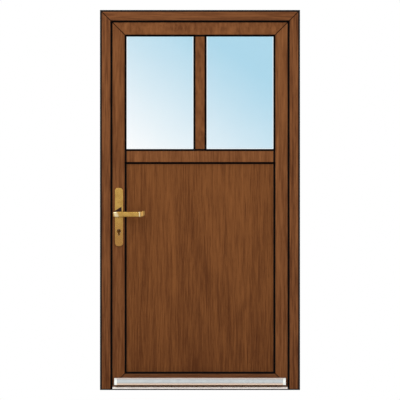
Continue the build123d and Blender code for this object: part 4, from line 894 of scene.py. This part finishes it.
# %% [markdown]
# ## Screw heads
#
# Every screw that shows has a cross recess for the driver. The recess could be cut into each head, but at
# this size only its dark cross is seen, so two short dark bars on each head stand in for it, as painted
# shade of the hollow. The hinges come first, with three screws in each half.

# %% Crosses on the hinges
# the recess colour is painted shade of the hollow
recess = dull("screw recess", colour(38, 36, 34), colour(52, 50, 48), 0.6, 300.0, 0.03)
recess_reach, recess_width, recess_height = 2.3 * millimetre, 1.1 * millimetre, 0.12 * millimetre
head = 4 * millimetre


def crosses(name, centres, outward, body):
    """Dark bars on each screw head, painted shade of its cross recess; outward is the direction in which
    the heads face.
    """
    outward = Vector(outward)
    one_way = outward.orthogonal().normalized()
    rows = []
    for centre in map(Vector, centres):
        for arm in (one_way, outward.cross(one_way)):
            rows.append((centre - arm * recess_reach, centre + arm * recess_reach, outward))
    bars(name, rows, recess_width, recess_height, recess, body)


for body in ("leaf", "frame"):
    low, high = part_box(f"hinge_screws_{body}")
    halves = [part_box(f"hinge_{body}_half_{place}") for place in ("bottom", "middle", "top")]
    middles = [(half_low.z + half_high.z) / 2 for half_low, half_high in halves]
    spread = high.z - head - middles[-1]
    x = (low.x + high.x) / 2
    spots = [(x, high.y, middle_z + way * spread) for middle_z in middles for way in (-1, 0, 1)]
    crosses(f"hinge_crosses_{body}", spots, BACK, body)

# %% [markdown]
# Two screws go through the inner plate of the handle and clamp the outer one. Two hold the keep in the
# frame. Three are in the lock's faceplate, and the middle one of those holds the cylinder.

# %% Crosses on the handle, the keep and the lock
low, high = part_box("handle_screws")
x, big_head = (low.x + high.x) / 2, (high.x - low.x) / 2
spots = [(x, high.y, z) for z in (low.z + big_head, high.z - big_head)]
crosses("handle_crosses", spots, BACK, "leaf")
low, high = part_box("strike_keep_screws")
y = (low.y + high.y) / 2
spots = [(high.x, y, z) for z in (low.z + head, high.z - head)]
crosses("keep_crosses", spots, (1, 0, 0), "frame")
low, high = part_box("lock_screws")
y = (low.y + high.y) / 2
cylinder_screw = cylinder_low.z + 5 * millimetre
spots = [(low.x, y, z) for z in (low.z + head, cylinder_screw, high.z - head)]
crosses("lock_crosses", spots, (-1, 0, 0), "leaf")

# %% [markdown]
# ## Studio
#
# The door is shown in front of white, as in a catalogue. A pale floor takes its shadow. Away from the door
# the floor fades into the white of the room, so that no edge of it shows. The fade works only for what
# the camera sees, so it puts no more light on the door.

# %% Floor
floor_width, fade_start, fade_end = 80.0, 1.0, 2.8
floor_finish = Finish("pale floor")
spot = floor_finish.place()
speckle = floor_finish.noise(spot, 60.0, 3.0)
across, deep, _ = floor_finish.axes(spot)
distance = (across * across + deep * deep) ** 0.5
fade = distance.rise(fade_start, fade_end) * floor_finish.seen()
no_light = colour(0, 0, 0)
paint = floor_finish.blend(speckle, colour(246, 246, 245), colour(252, 252, 251))
floor_finish.shade(
    Base_Color=floor_finish.blend(fade, paint, no_light),
    Roughness=0.8,
    Specular_IOR_Level=0.0,
    Emission_Color=floor_finish.blend(fade, no_light, white),
    Emission_Strength=1.0,
)
bpy.ops.mesh.primitive_plane_add(size=floor_width, location=(0.0, 0.0, -millimetre))
floor = bpy.context.object
floor.name = "studio floor"
floor.data.materials.append(floor_finish.material)
print("floor fades from", fade_start, "to", fade_end, "m")

# %% [markdown]
# A large lamp above left models the handle, and a larger one at the right fills the shadows. A third lamp
# stands in the house, for the inside of the door. Wide lamps are used because small ones would draw hard
# shadows, which a catalogue picture doesn't have.

# %% Lamps
half_height = cad_box[1][2] / 2
door_middle = (0.0, 0.0, half_height)


def lamp(name, place, target, width, power):
    """A square soft lamp aimed at a point, which is not seen through the glass."""
    data = bpy.data.lights.new(name, "AREA")
    data.size = width
    data.energy = power
    lamp_object = bpy.data.objects.new(name, data)
    lamp_object.location = place
    lamp_object.rotation_euler = (Vector(target) - Vector(place)).to_track_quat("-Z", "Y").to_euler()
    lamp_object.visible_transmission = False
    bpy.context.scene.collection.objects.link(lamp_object)
    print(name, power, "W")


lamp("key lamp", (-2.6, -4.2, 4.2), door_middle, 4.2, 165.0)
lamp("fill lamp", (3.2, -4.6, 1.6), door_middle, 6.0, 86.0)
lamp("room lamp", (1.5, 4.0, 3.0), door_middle, 2.4, 90.0)

# %% [markdown]
# The room is white and shines softly on everything. Seen straight, in a mirror or through glass it is pure
# white, which is brighter than its light on the door, so the two are mixed by the kind of ray.

# %% White room
world = bpy.data.worlds.new("white room")
bpy.context.scene.world = world
world.use_nodes = True
room = Network(world.node_tree)
light_strength, backdrop_strength = 0.55, 1.0
soft_light = room.node("ShaderNodeBackground", {}, {"Color": white, "Strength": light_strength})
backdrop = room.node("ShaderNodeBackground", {}, {"Color": white, "Strength": backdrop_strength})
chosen = room.node("ShaderNodeMixShader", {}, {0: room.seen(), 1: soft_light, 2: backdrop})
room.join(room.tree.nodes["World Output"].inputs["Surface"], chosen)
print("room:", world.name)

# %% [markdown]
# The picture is flat on, with no perspective, so the camera is orthographic. It stands level with the
# middle of the door.

# %% Camera
picture_height = 2.2
camera_distance = 6.0
camera_data = bpy.data.cameras.new("catalogue camera")
camera_data.type = "ORTHO"
camera_data.ortho_scale = picture_height
camera = bpy.data.objects.new("catalogue camera", camera_data)
camera.location = (0.0, -camera_distance, half_height)
camera.rotation_euler = (math.radians(90), 0.0, 0.0)
bpy.context.scene.collection.objects.link(camera)
bpy.context.scene.camera = camera
bpy.context.scene.view_settings.view_transform = "Standard"
print("camera frames", picture_height, "m")

# %% [markdown]
# ## Sizes
#
# The dressed door must not grow past the solids it was made from.

# %% Finish
print("sizes written")
